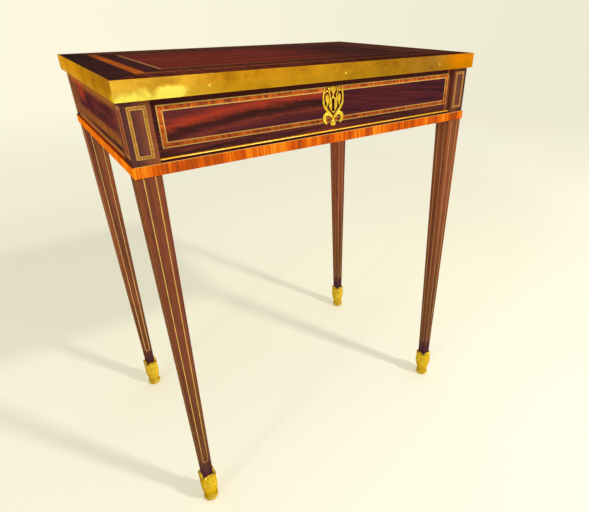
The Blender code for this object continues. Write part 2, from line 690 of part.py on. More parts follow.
def front_trim(front):
    """The strings, crossband and bead of the drawer front."""
    out = -FRONT_FACE
    outer = (-DRAWER_HALF + DRAWER_BAND_SIDE, DRAWER_HALF - DRAWER_BAND_SIDE, DRAWER_LOW + DRAWER_BAND_LOW,
             DRAWER_TOP - DRAWER_BAND_HIGH)
    width = 2 * FRAME_STRING + DRAWER_CROSSBAND
    framed_groove(front, "drawer_banding", "front", outer, width, out)
    pieces = []
    for name, strip, surface in (("drawer_outer_string", FRAME_STRING, boxwood()),
                                 ("drawer_crossband", DRAWER_CROSSBAND, tulipwood()),
                                 ("drawer_inner_string", FRAME_STRING, boxwood())):
        pieces.append(inlay(name, "front", outer, strip - INLAY_FIT, out, surface))
        outer = grown(outer, -strip)
    section = []
    for k in range(BEAD_SIDES + 1):
        turn = math.pi * k / BEAD_SIDES
        section.append((out + FIT + BEAD * math.sin(turn), DRAWER_LOW + BEAD / 2 - BEAD / 2 * math.cos(turn)))
    outline = [(-y, z) for y, z in section]
    bead = prism("drawer_bead", "right", outline, -DRAWER_HALF, DRAWER_HALF, brass())
    pieces.append(bead)
    return pieces


def bolt_middle():
    """The bolt's place from front to back."""
    return FRONT_BACK - LOCK_THICK / 2


def keyhole_outline(grow=0.0):
    """A slot with a round at each end and a narrow waist, from the bottom round to the top one."""
    radius, waist = KEYHOLE_RADIUS + grow, KEYHOLE_WAIST + grow
    bottom = ORNAMENT_BASE + KEYHOLE_LOW_SHARE * ORNAMENT_HEIGHT
    low = bottom + KEYHOLE_RADIUS
    high = bottom + KEYHOLE_HEIGHT_SHARE * ORNAMENT_HEIGHT - KEYHOLE_RADIUS
    lean = math.asin(waist / radius)
    outline = []
    for middle, start in ((high, -math.pi / 2 + lean), (low, math.pi / 2 + lean)):
        for k in range(KEYHOLE_STEPS + 1):
            turn = start + (math.tau - 2 * lean) * k / KEYHOLE_STEPS
            outline.append((LOCK_OFFSET + radius * math.cos(turn), middle + radius * math.sin(turn)))
    return outline


def make_lock(front):
    """The lock let into the back of the drawer front, its bolt, and the ornament around the keyhole."""
    half, top = LOCK_WIDTH / 2, DRAWER_TOP
    pocket = box("lock_pocket", (LOCK_OFFSET - half - FIT, FRONT_BACK - LOCK_THICK - FIT, top - LOCK_HEIGHT - FIT),
                 (LOCK_OFFSET + half + FIT, FRONT_BACK + CUT_OVERRUN, top + CUT_OVERRUN), oak())
    shape(front, pocket)
    shape(front, prism("front_keyhole", "front", keyhole_outline(FIT), -FRONT_BACK + LOCK_THICK,
                       -FRONT_FACE + CUT_OVERRUN, oak()))
    case = box("lock_case", (LOCK_OFFSET - half, FRONT_BACK - LOCK_THICK, top - LOCK_HEIGHT),
               (LOCK_OFFSET + half, FRONT_BACK, top), brass())
    middle = bolt_middle()
    low = (LOCK_OFFSET - BOLT_WIDTH / 2, middle - BOLT_THICK / 2, top - BOLT_LENGTH)
    high = (LOCK_OFFSET + BOLT_WIDTH / 2, middle + BOLT_THICK / 2, top)
    bolt = box("lock_bolt", low, high, steel())
    channel = box("bolt_channel", [v - FIT for v in low], [high[0] + FIT, high[1] + FIT, top + CUT_OVERRUN], oak())
    shape(case, channel)
    return [case, bolt, make_escutcheon()]


def smooth_line(points):
    """A curve through hand-set points: each stretch is the cubic whose slopes come from the neighbours."""
    line = np.array(points)
    ends = np.vstack([2 * line[0] - line[1], line, 2 * line[-1] - line[-2]])
    steps = np.arange(STEM_STEPS)[:, None] / STEM_STEPS
    parts = []
    for a, b, c, d in zip(ends, ends[1:], ends[2:], ends[3:]):
        parts.append((2 * b + (c - a) * steps + (2 * a - 5 * b + 4 * c - d) * steps**2
                      + (3 * b - a - 3 * c + d) * steps**3) / 2)
    return np.vstack(parts + [line[-1:]])


def stem(name, shares, side, depth):
    """A cast stem along a smooth line, oval in section, as wide as its points say."""
    scale = np.array((ORNAMENT_WIDTH / 2, ORNAMENT_HEIGHT, ORNAMENT_WIDTH / 2))
    line = smooth_line(shares) * scale
    way = np.gradient(line[:, :2], axis=0)
    way /= np.linalg.norm(way, axis=1)[:, None]
    rings = []
    for (u, v, half), (du, dv) in zip(line, way):
        ring = []
        for k in range(STEM_SIDES):
            turn = math.tau * (k + 1 / 2) / STEM_SIDES
            across = half * math.cos(turn)
            ring.append((side * (u - dv * across), v + du * across, depth * math.sin(turn)))
        rings.append(ring)
    item = lofted(name, rings, gilt_bronze(), smooth=True)
    item.matrix_world = Matrix.Translation((LOCK_OFFSET, FRONT_FACE - FIT, ORNAMENT_BASE)) @ FACES["front"]
    return item


def make_escutcheon():
    """Paired stems, leaves and scrolls grown together around a shield, pierced by the keyhole, flat behind."""
    plate = stem("escutcheon", SHIELD_SHARES, 1, ORNAMENT_DEPTH)
    paired = {"outer_stem": OUTER_STEM_SHARES, "oval_arc": OVAL_ARC_SHARES, "bud": BUD_SHARES,
              "scroll": SCROLL_SHARES, "petal": PETAL_SHARES[0], "side_petal": PETAL_SHARES[1]}
    parts = [("crown", CROWN_SHARES, 1), ("stub", STUB_SHARES, 1)]
    for label, shares in paired.items():
        parts += [(label + "_left", shares, -1), (label + "_right", shares, 1)]
    depth_steps = len(parts)
    for k, (label, shares, side) in enumerate(parts):
        depth = ORNAMENT_DEPTH * (1 + (k + 1) / depth_steps)
        shape(plate, stem("escutcheon_" + label, shares, side, depth), "UNION")
    reach = ORNAMENT_WIDTH
    back = prism("escutcheon_flat", "front",
                 ((LOCK_OFFSET - reach, ORNAMENT_BASE - reach), (LOCK_OFFSET + reach, ORNAMENT_BASE - reach),
                  (LOCK_OFFSET + reach, DRAWER_TOP + reach), (LOCK_OFFSET - reach, DRAWER_TOP + reach)),
                 -FRONT_FACE + FIT - reach, -FRONT_FACE + FIT, oak())
    shape(plate, back)
    shape(plate, prism("escutcheon_keyhole", "front", keyhole_outline(), -FRONT_FACE - CUT_OVERRUN,
                       -FRONT_FACE + ORNAMENT_DEPTH + CUT_OVERRUN, oak()))
    return plate


def main():
    clear_scene()
    make_legs()
    make_sabots()
    make_frieze()
    make_runners()
    make_top()
    pieces = make_drawer()
    slide = hidden_empty("drawer_slide", (0.0, FRONT_FACE, DRAWER_LOW))
    bolt_slide = hidden_empty("bolt_slide", (LOCK_OFFSET, bolt_middle(), DRAWER_TOP))
    place_under(slide, [bolt_slide] + [piece for piece in pieces if piece.name != "lock_bolt"])
    place_under(bolt_slide, [piece for piece in pieces if piece.name == "lock_bolt"])


main()
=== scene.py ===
"""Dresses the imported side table: its woods, brass and gilt bronze, the fine metalwork, and a plain pale
studio.

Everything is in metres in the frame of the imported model: the table stands on the origin, +Z up, its drawer
towards -Y.
"""

import math
from functools import partial

import bmesh
import bpy
import numpy as np
from bpy.props import FloatProperty, FloatVectorProperty, PointerProperty
from mathutils import Matrix, Vector


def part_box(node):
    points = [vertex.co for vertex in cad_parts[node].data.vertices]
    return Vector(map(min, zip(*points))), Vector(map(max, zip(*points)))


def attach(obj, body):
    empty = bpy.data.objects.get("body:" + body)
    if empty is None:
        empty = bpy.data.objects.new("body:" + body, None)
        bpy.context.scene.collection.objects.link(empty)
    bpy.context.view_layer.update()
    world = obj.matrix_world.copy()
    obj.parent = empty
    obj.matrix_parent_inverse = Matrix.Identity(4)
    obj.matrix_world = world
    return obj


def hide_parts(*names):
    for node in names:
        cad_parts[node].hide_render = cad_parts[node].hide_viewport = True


bl_info = {
    "name": "Side table finishes",
    "version": (1, 0, 0),
    "blender": (4, 5, 0),
    "location": "View3D > Sidebar > Side table",
    "description": "Woods, metalwork and studio for a small side table with one drawer",
    "category": "Object",
}

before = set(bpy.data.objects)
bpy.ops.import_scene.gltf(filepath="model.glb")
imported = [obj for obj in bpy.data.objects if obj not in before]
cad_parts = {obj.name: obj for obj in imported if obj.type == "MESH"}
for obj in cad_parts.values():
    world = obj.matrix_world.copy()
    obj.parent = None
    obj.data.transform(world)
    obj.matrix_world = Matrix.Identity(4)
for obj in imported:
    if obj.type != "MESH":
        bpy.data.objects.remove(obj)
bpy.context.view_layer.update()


def low_high(node):
    """A node's lowest and highest corner as numpy arrays."""
    return tuple(np.array(corner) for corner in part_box(node))


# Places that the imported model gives
RIM_LOW, RIM_HIGH = low_high("brass_rim_front")
RIM_OUT = (RIM_HIGH[0], -RIM_LOW[1])
RIM_THICK = RIM_HIGH[1] - RIM_LOW[1]
BAND_LOW, BAND_HIGH = low_high("base_band_front")
BAND_OUT = (BAND_HIGH[0], -BAND_LOW[1])
BAND_THICK = BAND_HIGH[1] - BAND_LOW[1]
LEG_LOW = low_high("leg_front_left")[0]
HALF_X, HALF_Y = -LEG_LOW[0], -LEG_LOW[1]
CASE_LOW = BAND_LOW[2]
DRAWER_LOW, DRAWER_HIGH = low_high("drawer_front")
FRONT_FACE = DRAWER_LOW[1]
# The size that the escutcheon's shares are of, and its lowest point, so that it fills its node's box
ORNAMENT_BASE = DRAWER_LOW[2] + 0.0103
ORNAMENT_WIDTH, ORNAMENT_HEIGHT = 0.037, DRAWER_HIGH[2] - 0.0059 - ORNAMENT_BASE
LOCK_LOW, LOCK_HIGH = low_high("lock_case")
LOCK_MIDDLE = (LOCK_LOW[0] + LOCK_HIGH[0]) / 2
# What the model doesn't give: the leg's lower end and its widths there and at the frieze, the foot of its
# strings, the shoe's middle across, a height between the legs' strings and the drawer's, and the span over
# which the drawer's inlay is browner at its foot
LEG_FOOT, LEG_SLIM, LEG_BROAD = 0.03, 0.0165, 0.0305
STRING_FOOT = 0.104
SHOE_MIDDLE = 0.278
LEG_TOP = 0.645
DRAWER_FOOT, DRAWER_WAIST = 0.668, 0.69

# Each face's own directions: across it, up it and straight out of it
FACES = {name: np.array((across, (0, 0, 1), out), float) for name, across, out in (
    ("front", (1, 0, 0), (0, -1, 0)), ("back", (-1, 0, 0), (0, 1, 0)),
    ("left", (0, -1, 0), (-1, 0, 0)), ("right", (0, 1, 0), (1, 0, 0)))}
# The corners' sides in X and in Y
CORNERS = {"front_left": (-1, -1), "front_right": (1, -1), "back_left": (-1, 1), "back_right": (1, 1)}

# The camera's right, level with the floor
TO_THE_RIGHT = (0.81, -0.58, 0.0)
# The brass that the rim's tones are given for
STANDARD_BRASS = "#D8981A"

# A shoe's outline: height share, radius share, how far the leaves stand out, how much further at the leg's
# corners
SHOE_HEIGHT = 0.065
SHOE_RADIUS = 0.0143
SHOE_OUTLINE = ((0, 76.5, 0, 0), (2.5, 86.5, 1, 0), (7.5, 91.5, 2, 0), (12.5, 86, 1, 0), (16, 78, 0, 1),
                (21.5, 79, 1, 2), (34, 88, 4, 4), (49, 97.5, 5, 7), (62, 104, 5, 10), (70, 103.5, 4, 10),
                (76, 101.5, 3, 9), (86, 102.5, 2, 10), (95, 104.5, 1, 10), (100, 107, 1, 10))

# The escutcheon's stems: place across (share of the half width), height (share of the height), half width of
# the stem
OUTER_STEM = ((84, 94, 5), (88, 87, 7), (93, 77, 7.5), (94, 65, 8.5), (88, 52, 10), (66, 41, 11.5),
              (40, 31.5, 12), (16, 22.5, 12), (-3, 16.5, 11))
OVAL_ARC = ((86, 80, 5), (74, 85.5, 5.6), (58, 87, 6), (42, 83, 6), (33, 75, 6), (31, 67, 6.2), (29, 60, 6))
BUD = ((59, 77.5, 5), (58, 73, 15), (57, 67, 19), (55, 61, 16), (55, 56, 9), (60, 50, 5), (68, 44, 5))
SCROLL = ((6, 19, 10), (30, 25.5, 13), (55, 28.5, 16), (78, 26.5, 17), (86, 19, 16), (81, 11, 14),
          (66, 4.5, 9))
PETAL = ((5, 79, 5), (12, 87, 7), (20, 92.5, 10.5), (23, 96, 7))
SIDE_PETAL = ((34, 86, 5), (40, 90.5, 9), (47, 93, 9), (54, 93.5, 5))
CROWN = ((0, 69, 7.5), (0, 78, 6), (0, 86, 8), (0, 93, 11.5), (0, 97.2, 7))
STUB = ((0, 17, 10), (0, 14, 16), (0, 10.5, 23), (0, 7.8, 16), (0, 5, 25), (0, 2.4, 29))
SHIELD = ((0, 29.5, 3), (0, 34, 15), (0, 40, 28), (0, 46, 38), (0, 53, 41.5), (0, 60, 38), (0, 66, 26),
          (0, 71.5, 10))


def linear(code):
    """An sRGB hex colour as linear red, green and blue."""
    share = np.array([int(code[k:k + 2], 16) for k in (1, 3, 5)]) / 255
    return np.where(share <= 0.04045, share / 12.92, ((share + 0.055) / 1.055) ** 2.4).tolist()


def rgba(colour):
    """Four numbers for a colour, which is a hex code, or linear red, green and blue."""
    return (*(linear(colour) if isinstance(colour, str) else colour), 1.0)


# Shapes


def smooth_line(points, steps):
    """A curve through points in hundredths: on each stretch the cubic whose end slopes are half the
    neighbours' gap."""
    line = np.array(points) / 100
    ends = np.vstack([2 * line[0] - line[1], line, 2 * line[-1] - line[-2]])
    share = (np.arange(steps) / steps)[None, :, None]
    a, b, c, d = (ends[k:len(ends) - 3 + k, None] for k in range(4))
    curve = (2 * b + (c - a) * share + (2 * a - 5 * b + 4 * c - d) * share**2
             + (3 * b - a - 3 * c + d) * share**3) / 2
    return np.vstack([curve.reshape(-1, line.shape[1]), line[-1:]])


def directions(line):
    """The unit direction of a line at each of its points."""
    way = np.gradient(line, axis=0)
    return way / np.linalg.norm(way, axis=1)[:, None]


def step(value, low, high):
    """Rises smoothly from 0 at low to 1 at high: 3s^2 - 2s^3."""
    share = np.clip((value - low) / (high - low), 0, 1)
    return share * share * (3 - 2 * share)


def quads(rows, columns, closed=False):
    """The faces of a grid of points whose columns run round, and whose rows do too where it is closed."""
    i, j = np.meshgrid(np.arange(rows if closed else rows - 1), np.arange(columns), indexing="ij")
    m, k = (i + 1) % rows, (j + 1) % columns
    corners = (i * columns + j, i * columns + k, m * columns + k, m * columns + j)
    return np.stack(corners, -1).reshape(-1, 4).tolist()


def skin(rings):
    """Rings of as many points each, joined row by row, and both ends closed by a fan to the end ring's
    middle."""
    rows, columns = rings.shape[:2]
    points = np.vstack((rings.reshape(-1, 3), rings[0].mean(0), rings[-1].mean(0)))
    a, last = np.arange(columns), (rows - 1) * columns
    b = (a + 1) % columns
    fans = np.vstack((np.stack((np.full(columns, rows * columns), b, a), -1),
                      np.stack((np.full(columns, rows * columns + 1), last + a, last + b), -1)))
    return points, quads(rows, columns) + fans.tolist()


def hoop(rings):
    """Rings joined row by row and the last one to the first, as on a torus."""
    return rings.reshape(-1, 3), quads(*rings.shape[:2], True)


def place_object(name, data):
    """A new object in the scene that holds the mesh, lamp or camera given."""
    item = bpy.data.objects.new(name, data)
    bpy.context.scene.collection.objects.link(item)
    return item


def piece(name, shells, finish, body, replaced=(), sharp=35.0, hollow=None):
    """One object from closed shells, its faces turned outwards, riding on a body in the place of the CAD
    nodes named.

    hollow is a number for each point, 0 where the casting stands proud and 1 in its recesses; on the shoes it
    also carries painted shade where they meet the legs, and on the rim it is 0 at the ends, where a highlight
    is painted, and 1 on the top edge.
    """
    points, faces, first = [], [], 0
    for corners, sides in shells:
        points.append(corners)
        faces += [[corner + first for corner in side] for side in sides]
        first += len(corners)
    mesh = bpy.data.meshes.new(name)
    mesh.from_pydata(np.vstack(points).tolist(), [], faces)
    if hollow is not None:
        depths = mesh.attributes.new("hollow", "FLOAT", "POINT").data
        depths.foreach_set("value", np.asarray(hollow, np.float32))
    work = bmesh.new()
    work.from_mesh(mesh)
    bmesh.ops.recalc_face_normals(work, faces=work.faces)
    work.to_mesh(mesh)
    work.free()
    mesh.shade_smooth()
    mesh.set_sharp_from_angle(angle=math.radians(sharp))
    mesh.materials.append(bpy.data.materials[finish])
    item = place_object(name, mesh)
    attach(item, body)
    if replaced:
        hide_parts(*replaced)


def rounded_section(thick, low, high, radius):
    """A strip's section, out and up, as a closed line whose four corners are quarter rounds."""
    radius = min(radius, thick * 0.45)
    turns = np.linspace(0, math.pi / 2, 6)
    return np.vstack([np.stack((out + radius * np.cos(turns + first), up + radius * np.sin(turns + first)),
                               -1)
                      for out, up, first in (
                          (thick - radius, low + radius, -math.pi / 2), (thick - radius, high - radius, 0),
                          (radius, high - radius, math.pi / 2), (radius, low + radius, math.pi))])


def mitred_strip(side, half, thick, low, high, radius, wander=0.0, rows=150, seed=0.0):
    """One side of a mitred frame round the table, with its outer face at half[0] and half[1].

    Each point of the section runs from -1 to 1 times its own distance from the table's middle line, so the
    ends are cut at 45 degrees. The outer face wanders inwards by up to wander, on three waves 210, 87 and 33
    mm long, and over the last radius before each end it falls back by r - sqrt(r^2 - t^2), so the frame's
    corners are eased too. Returns the shell, and for each point 0 at the ends, where the rim's highlight is
    painted, 1 on the top edge and 0.5 elsewhere.
    """
    outward, up = rounded_section(thick, low, high, radius).T[:, None]
    own, other = half[::-1] if side in ("front", "back") else half
    tip = np.array((0, 0.1, 0.3, 0.55, 0.8, 1.0, 1.6)) * radius / other
    share = np.concatenate((-1 + tip, np.linspace(-1 + 4 * tip[-1], 1 - 4 * tip[-1], rows),
                            1 - tip[::-1]))[:, None]
    wave = sum(np.sin(math.tau * share * other / length + seed * k + up * 90 * k)
               for k, length in ((1, 0.21), (2, 0.087), (3, 0.033))) / 3
    outer = outward > thick * 0.6
    near_end = np.clip(1 - (1 - np.abs(share)) * other / radius, 0, 1)
    eased = radius * (1 - np.sqrt(1 - near_end**2)) * 0.8
    out = outward - (wander * (0.5 + 0.5 * wave) + eased) * outer
    across = share * (other - thick + outward)
    points = np.stack((across, up + 0 * across, own - thick + out), -1)
    marks = np.where(near_end > 0.02, 0.0, np.where((high - up < radius * 1.05) & outer, 1.0, 0.5))
    return skin(points @ FACES[side]), np.append(marks.ravel(), (0.5, 0.5))


def veneer_ring(face, outer, width, out, proud):
    """A mitred ring of veneer on one face: outer is left, right, bottom and top, and the ring is width wide
    inwards.

    Its section is a flat strip from 0.3 mm below the face to proud above it, carried round the four corners.
    """
    low, high = np.array(outer).reshape(2, 2).T
    signs = np.array(((-1, -1), (1, -1), (1, 1), (-1, 1)), float)
    rings = [np.column_stack(((low + high) / 2 + signs * ((high - low) / 2 - inwards),
                              np.full(4, out + lift)))
             for inwards, lift in ((0.0, -0.0003), (0.0, proud), (width, proud), (width, -0.0003))]
    return hoop(np.stack(rings, 1) @ FACES[face])


def leg_width(height):
    """The square leg's width, which grows evenly from the shoe to the frieze."""
    return LEG_SLIM + (LEG_BROAD - LEG_SLIM) * (height - LEG_FOOT) / (CASE_LOW - LEG_FOOT)


def leg_string(face, side_x, side_y, width, depth):
    """An inlaid string on one face of a leg: down one line, round a half circle and up the other.

    The two lines stand 0.235 of the leg's width to each side of the face's middle, so they follow its taper,
    and the section is a flat strip set square to the line.
    """
    share, top = 0.235, CASE_LOW + 0.0003
    end = STRING_FOOT + share * leg_width(STRING_FOOT)
    down = np.linspace(top, end, 24)[:-1]
    turn = np.linspace(0, math.pi, 25)
    half = share * leg_width(end)
    up = np.concatenate((down, end - half * np.sin(turn), down[::-1]))
    beside = share * leg_width(down)
    offset = np.concatenate((-beside, -half * np.cos(turn), beside[::-1]))
    side, across, out, outer = {
        "front": (side_x, HALF_X, HALF_Y, side_y < 0), "back": (-side_x, HALF_X, HALF_Y, side_y > 0),
        "left": (-side_y, HALF_Y, HALF_X, side_x < 0), "right": (side_y, HALF_Y, HALF_X, side_x > 0),
    }[face]
    line = np.stack((side * (across - leg_width(up) / 2) + offset, up), -1)
    way = directions(line)
    # half width and height of the section's six points, its upper edges eased by a tenth of a millimetre
    section = np.array(((-0.5, -1), (-0.5, -0.1), (-0.42, 0), (0.42, 0), (0.5, -0.1),
                        (0.5, -1))) * (width, depth)
    flat = line[:, None] + np.stack((-way[:, 1], way[:, 0]), -1)[:, None] * section[None, :, :1]
    face_at = np.full_like(flat[..., 0], out) if outer else leg_width(flat[..., 1]) - out
    points = np.stack((flat[..., 0], np.minimum(flat[..., 1], top), face_at + 0.00002 + section[None, :, 1]),
                      -1)
    return skin(points @ FACES[face])


def leaf(up, place, rib, rib_width, vein, waves, lean, smooth_to, gap, gap_width):
    """Relief of one leaf, where place p runs from -0.5 to 0.5 across it and up is the height share h.

    rib exp(-(p/rib_width)^2) + vein sin 2pi(waves h - lean |p|) - gap exp(-((|p|-0.5)/gap_width)^2), the
    veins away from the rib. Gives the veins apart from the rest.
    """
    off = np.abs(place)
    veins = vein * np.sin(math.tau * (waves * up - lean * off)) * step(off, *smooth_to)
    return veins, rib * np.exp(-(place / rib_width) ** 2) - gap * np.exp(-((off - 0.5) / gap_width) ** 2)


def shoe(side_x, side_y, relief):
    """A gilt bronze shoe: radius as a function of the turn and the height, closed below and down into its
    socket.

    radius = R (outline + leaves' share cos 8t - corners' share cos 4t) + relief x carving. The lower leaves
    step out below the height 0.69 - 0.15 (2p)^2 + a wave, set half a leaf round. Every ring is centred on the
    leg's middle at its height. Returns the shell and how deep each point lies, with painted shade added in
    the collar and socket where the shoe meets the leg, and at the leg's corners.
    """
    rows = smooth_line(SHOE_OUTLINE, 9)
    up, share, bulge, corner = (rows[:, k:k + 1] for k in range(4))
    turn = np.linspace(0, math.tau, 144, endpoint=False)[None, :]
    eight, four, none = np.cos(8 * turn), np.cos(4 * turn), 0 * turn
    place, lower = ((8 * turn / math.tau + shift) % 1 - 0.5 for shift in (0.5, 0))
    veins, upper = leaf(up, place, 0.9, 0.06, 0.42, 11, 3.2, (0.05, 0.14), 1.7, 0.055)
    upper = upper + veins * (1 - step(np.abs(place), 0.36, 0.46))
    edge = 0.69 - 0.15 * (2 * lower) ** 2 + 0.012 * np.sin(math.tau * 5 * np.abs(lower))
    tier = 1 - step(up, edge - 0.012, edge + 0.012)
    under = 0.5 + sum(leaf(up, lower, 0.8, 0.07, 0.4, 10, 2.6, (0.06, 0.16), 1.5, 0.06))
    carved = step(up, 0.24, 0.4) * (tier * under + (1 - tier) * upper) * (1 - 0.85 * step(up, 0.78, 0.9))
    cuts = -0.8 * np.exp(-((up - 0.145) / 0.01) ** 2) - 0.8 * np.exp(-((up - 0.235) / 0.012) ** 2)
    deep = carved + cuts + 0.25 * np.exp(-((up - 0.188) / 0.018) ** 2) * (1 + 0.8 * np.cos(24 * turn))
    # the carving dies away over the last 3 mm to the scalloped lip
    radius = SHOE_RADIUS * (share + bulge * eight - corner * four) + relief * (deep - 0.45)
    scallop = 0.0008 * eight
    lip = SHOE_RADIUS * (0.985 + 0.01 * eight - 0.1 * four)
    lip_height = 0.99 * SHOE_HEIGHT + scallop
    # inside the lip a collar slopes up to the leg's faces, and the socket runs down along them
    square = 1 / np.maximum(np.abs(np.cos(turn)), np.abs(np.sin(turn)))
    seat = np.minimum(square * (leg_width(0.06) / 2 + 0.0003), lip - 0.0001)
    seat_height = lip_height + (0.47 + 0.12 * four) * (lip - seat)
    radii = np.vstack([SHOE_RADIUS * 0.45 + none, radius, lip, seat,
                       square * (leg_width(LEG_FOOT) / 2 + 0.0002) * 0.98])
    heights = np.vstack([none, SHOE_HEIGHT * up + scallop * up**8, lip_height, seat_height, LEG_FOOT + none])
    points = np.stack((side_x * (HALF_X - leg_width(heights) / 2) + radii * np.cos(turn),
                       side_y * (HALF_Y - leg_width(heights) / 2) + radii * np.sin(turn),
                       np.maximum(heights, 0)), -1)
    # painted shade: darker at the leg's corners on the lip and collar, and in the collar and socket where the
    # shoe meets the leg
    corner_shade = step(-four, 0.0, 0.9)
    hollow = np.vstack([none + 0.3, np.clip(0.34 - 0.26 * deep - 0.45 * cuts, 0, 1), 0.3 + 0.35 * corner_shade,
                        0.62 + 0.15 * corner_shade, none + 0.9])
    return skin(points), np.concatenate((hollow.ravel(), (0.3, 0.9)))


def ornament_stem(shares, side, depth):
    """A cast stem on the drawer's face: a smooth line with a half oval section that has a shallow groove on
    top.

    Height above the seat = depth sin t (1 - 0.28 exp(-(cos t / 0.3)^2)); the width closes to a round at both
    ends.
    """
    line = smooth_line(shares, 10) * (ORNAMENT_WIDTH / 2, ORNAMENT_HEIGHT, ORNAMENT_WIDTH / 2)
    way, ends = directions(line[:, :2]), line[[0, -1], 2]
    run = np.array((0.985, 0.87, 0.5))
    before = line[0, :2] - way[0] * ends[0] * run[:, None] * 0.6
    after = line[-1, :2] + way[-1] * ends[1] * run[::-1, None] * 0.6
    spans = np.concatenate((ends[0] * np.sqrt(1 - run**2), line[:, 2],
                            ends[1] * np.sqrt(1 - run[::-1] ** 2)))[:, None]
    middle = np.vstack((before, line[:, :2], after))
    way = np.vstack((np.repeat(way[:1], 3, 0), way, np.repeat(way[-1:], 3, 0)))
    turn = np.concatenate((np.linspace(0, math.pi, 20), (math.pi * 1.25, math.pi * 1.75)))
    groove = 1 - 0.28 * np.exp(-(np.cos(turn) / 0.3) ** 2)
    lift = np.where(turn <= math.pi, depth * np.sin(turn) * groove, 0) * (spans / spans.max()) ** 0.35
    offset = spans * np.cos(turn)
    points = on_drawer(side * (middle[:, :1] - way[:, 1:] * offset), middle[:, 1:] + way[:, :1] * offset,
                       lift)
    return points, np.clip(1.0 - lift / depth * 0.95, 0, 1)


def on_drawer(u, v, lift):
    """Points on the drawer's face: across from the lock's middle, up from the ornament's base, out from the
    face."""
    return np.stack((LOCK_MIDDLE + u, FRONT_FACE - 0.0003 - lift, ORNAMENT_BASE + v), -1)


def even(line, count):
    """A line's points set evenly along its length."""
    gone = np.concatenate(((0,), np.cumsum(np.linalg.norm(np.diff(line, axis=0), axis=1))))
    place = np.linspace(0, gone[-1], count)
    return np.stack([np.interp(place, gone, line[:, k]) for k in range(line.shape[1])], -1)


def shield(depth):
    """The plate round the keyhole: each ray runs from the keyhole's edge to the shield's edge over a low
    dome.

    Height = depth (0.3 + 0.25 s + 0.45 sin^0.7(pi s)) with s from 0 at the keyhole to 1 at the outer edge,
    where it falls to a quarter. The keyhole is two rounds of 2.5 mm radius joined by a 4.2 mm wide waist, a
    little wider than the hole in the wood.
    """
    radius, waist = 0.0025, 0.0021
    lean = math.asin(waist / radius)
    hole = np.vstack([radius * np.stack((np.cos(turn), np.sin(turn)), -1) + (0, middle) for middle, turn in (
        (0.338 * ORNAMENT_HEIGHT + radius, np.linspace(-math.pi / 2, math.pi / 2 - lean, 24)),
        (0.668 * ORNAMENT_HEIGHT - radius, np.linspace(-math.pi / 2 + lean, math.pi / 2, 24)))])
    spine = smooth_line(SHIELD, 10) * (1, ORNAMENT_HEIGHT, ORNAMENT_WIDTH / 2)
    rim = np.vstack(((0, spine[0, 1] - 0.0006), spine[:, [2, 1]], (0, spine[-1, 1] + 0.0006)))
    # right half, evenly spaced, and its mirror image back down
    hole, rim = (np.vstack((half, (half * (-1, 1))[::-1][1:-1])) for half in (even(hole, 60), even(rim, 60)))
    share = np.linspace(0, 1, 14)[:, None]
    lift = depth * (0.3 + 0.25 * share + 0.45 * np.sin(math.pi * share) ** 0.7 - 0.3 * share**4)
    flat = hole[None] + (rim - hole)[None] * share[..., None]
    front = on_drawer(flat[..., 0], flat[..., 1], lift + 0 * flat[..., 0])
    back = on_drawer(flat[[-1, 0], :, 0], flat[[-1, 0], :, 1], np.zeros((2, len(rim))))
    hollow = (0.25 + 0.6 * share**6 + 0 * flat[..., 0]).ravel()
    return hoop(np.concatenate((front, back))), np.append(hollow, np.full(2 * len(rim), 1))


def dome(centre, face, radius, height, slot=0.0, lean=0.0, turns=32, steps=10):
    """A round head: height x (1 - s^2)^0.6 over its radius, and where slot is given a slot as deep across
    it."""
    share = np.linspace(1, 0.02, steps)[:, None]
    turn = np.linspace(0, math.tau, turns, endpoint=False)[None, :]
    u, v = radius * share * np.cos(turn), radius * share * np.sin(turn)
    lift = height * (1 - share**2) ** 0.6 + 0 * turn
    if slot:
        off = np.abs(u * math.sin(lean) - v * math.cos(lean)) / radius
        lift = lift - slot * (1 - step(off, 0.12, 0.2)) * (share < 0.999)
    seat = np.stack((u[:1], v[:1], 0 * u[:1] - 0.0003), -1)
    return skin(np.concatenate((seat, np.stack((u, v, lift), -1))) @ FACES[face] + centre)


# Materials


# Short names of the sums on numbers and on vectors
SUMS = {"+": "Math ADD", "-": "Math SUBTRACT", "*": "Math MULTIPLY", "*+": "Math MULTIPLY_ADD",
        "abs": "Math ABSOLUTE", ">": "Math GREATER_THAN", "<": "Math LESS_THAN", "max": "Math MAXIMUM",
        "dot": "VectorMath DOT_PRODUCT", "length": "VectorMath LENGTH", "scale": "VectorMath SCALE"}

# What a kind of node has here unless a call says otherwise: the sockets that its inputs fill, its output and
# settings
USUAL = {
    "MapRange": (range(5), 0, {"interpolation_type": "SMOOTHSTEP"}),
    "Mix": ((0, 6, 7), 2, {"data_type": "RGBA"}),
    "SeparateXYZ": ((0,), None, {}),
    "TexNoise": (("Vector", "Scale", "Detail", "Roughness", "Distortion"), 0, {}),
    "scale": ((0, "Scale"), 0, {}),
    "length": ((0,), 1, {}),
    "dot": ((0, 1), 1, {}),
}


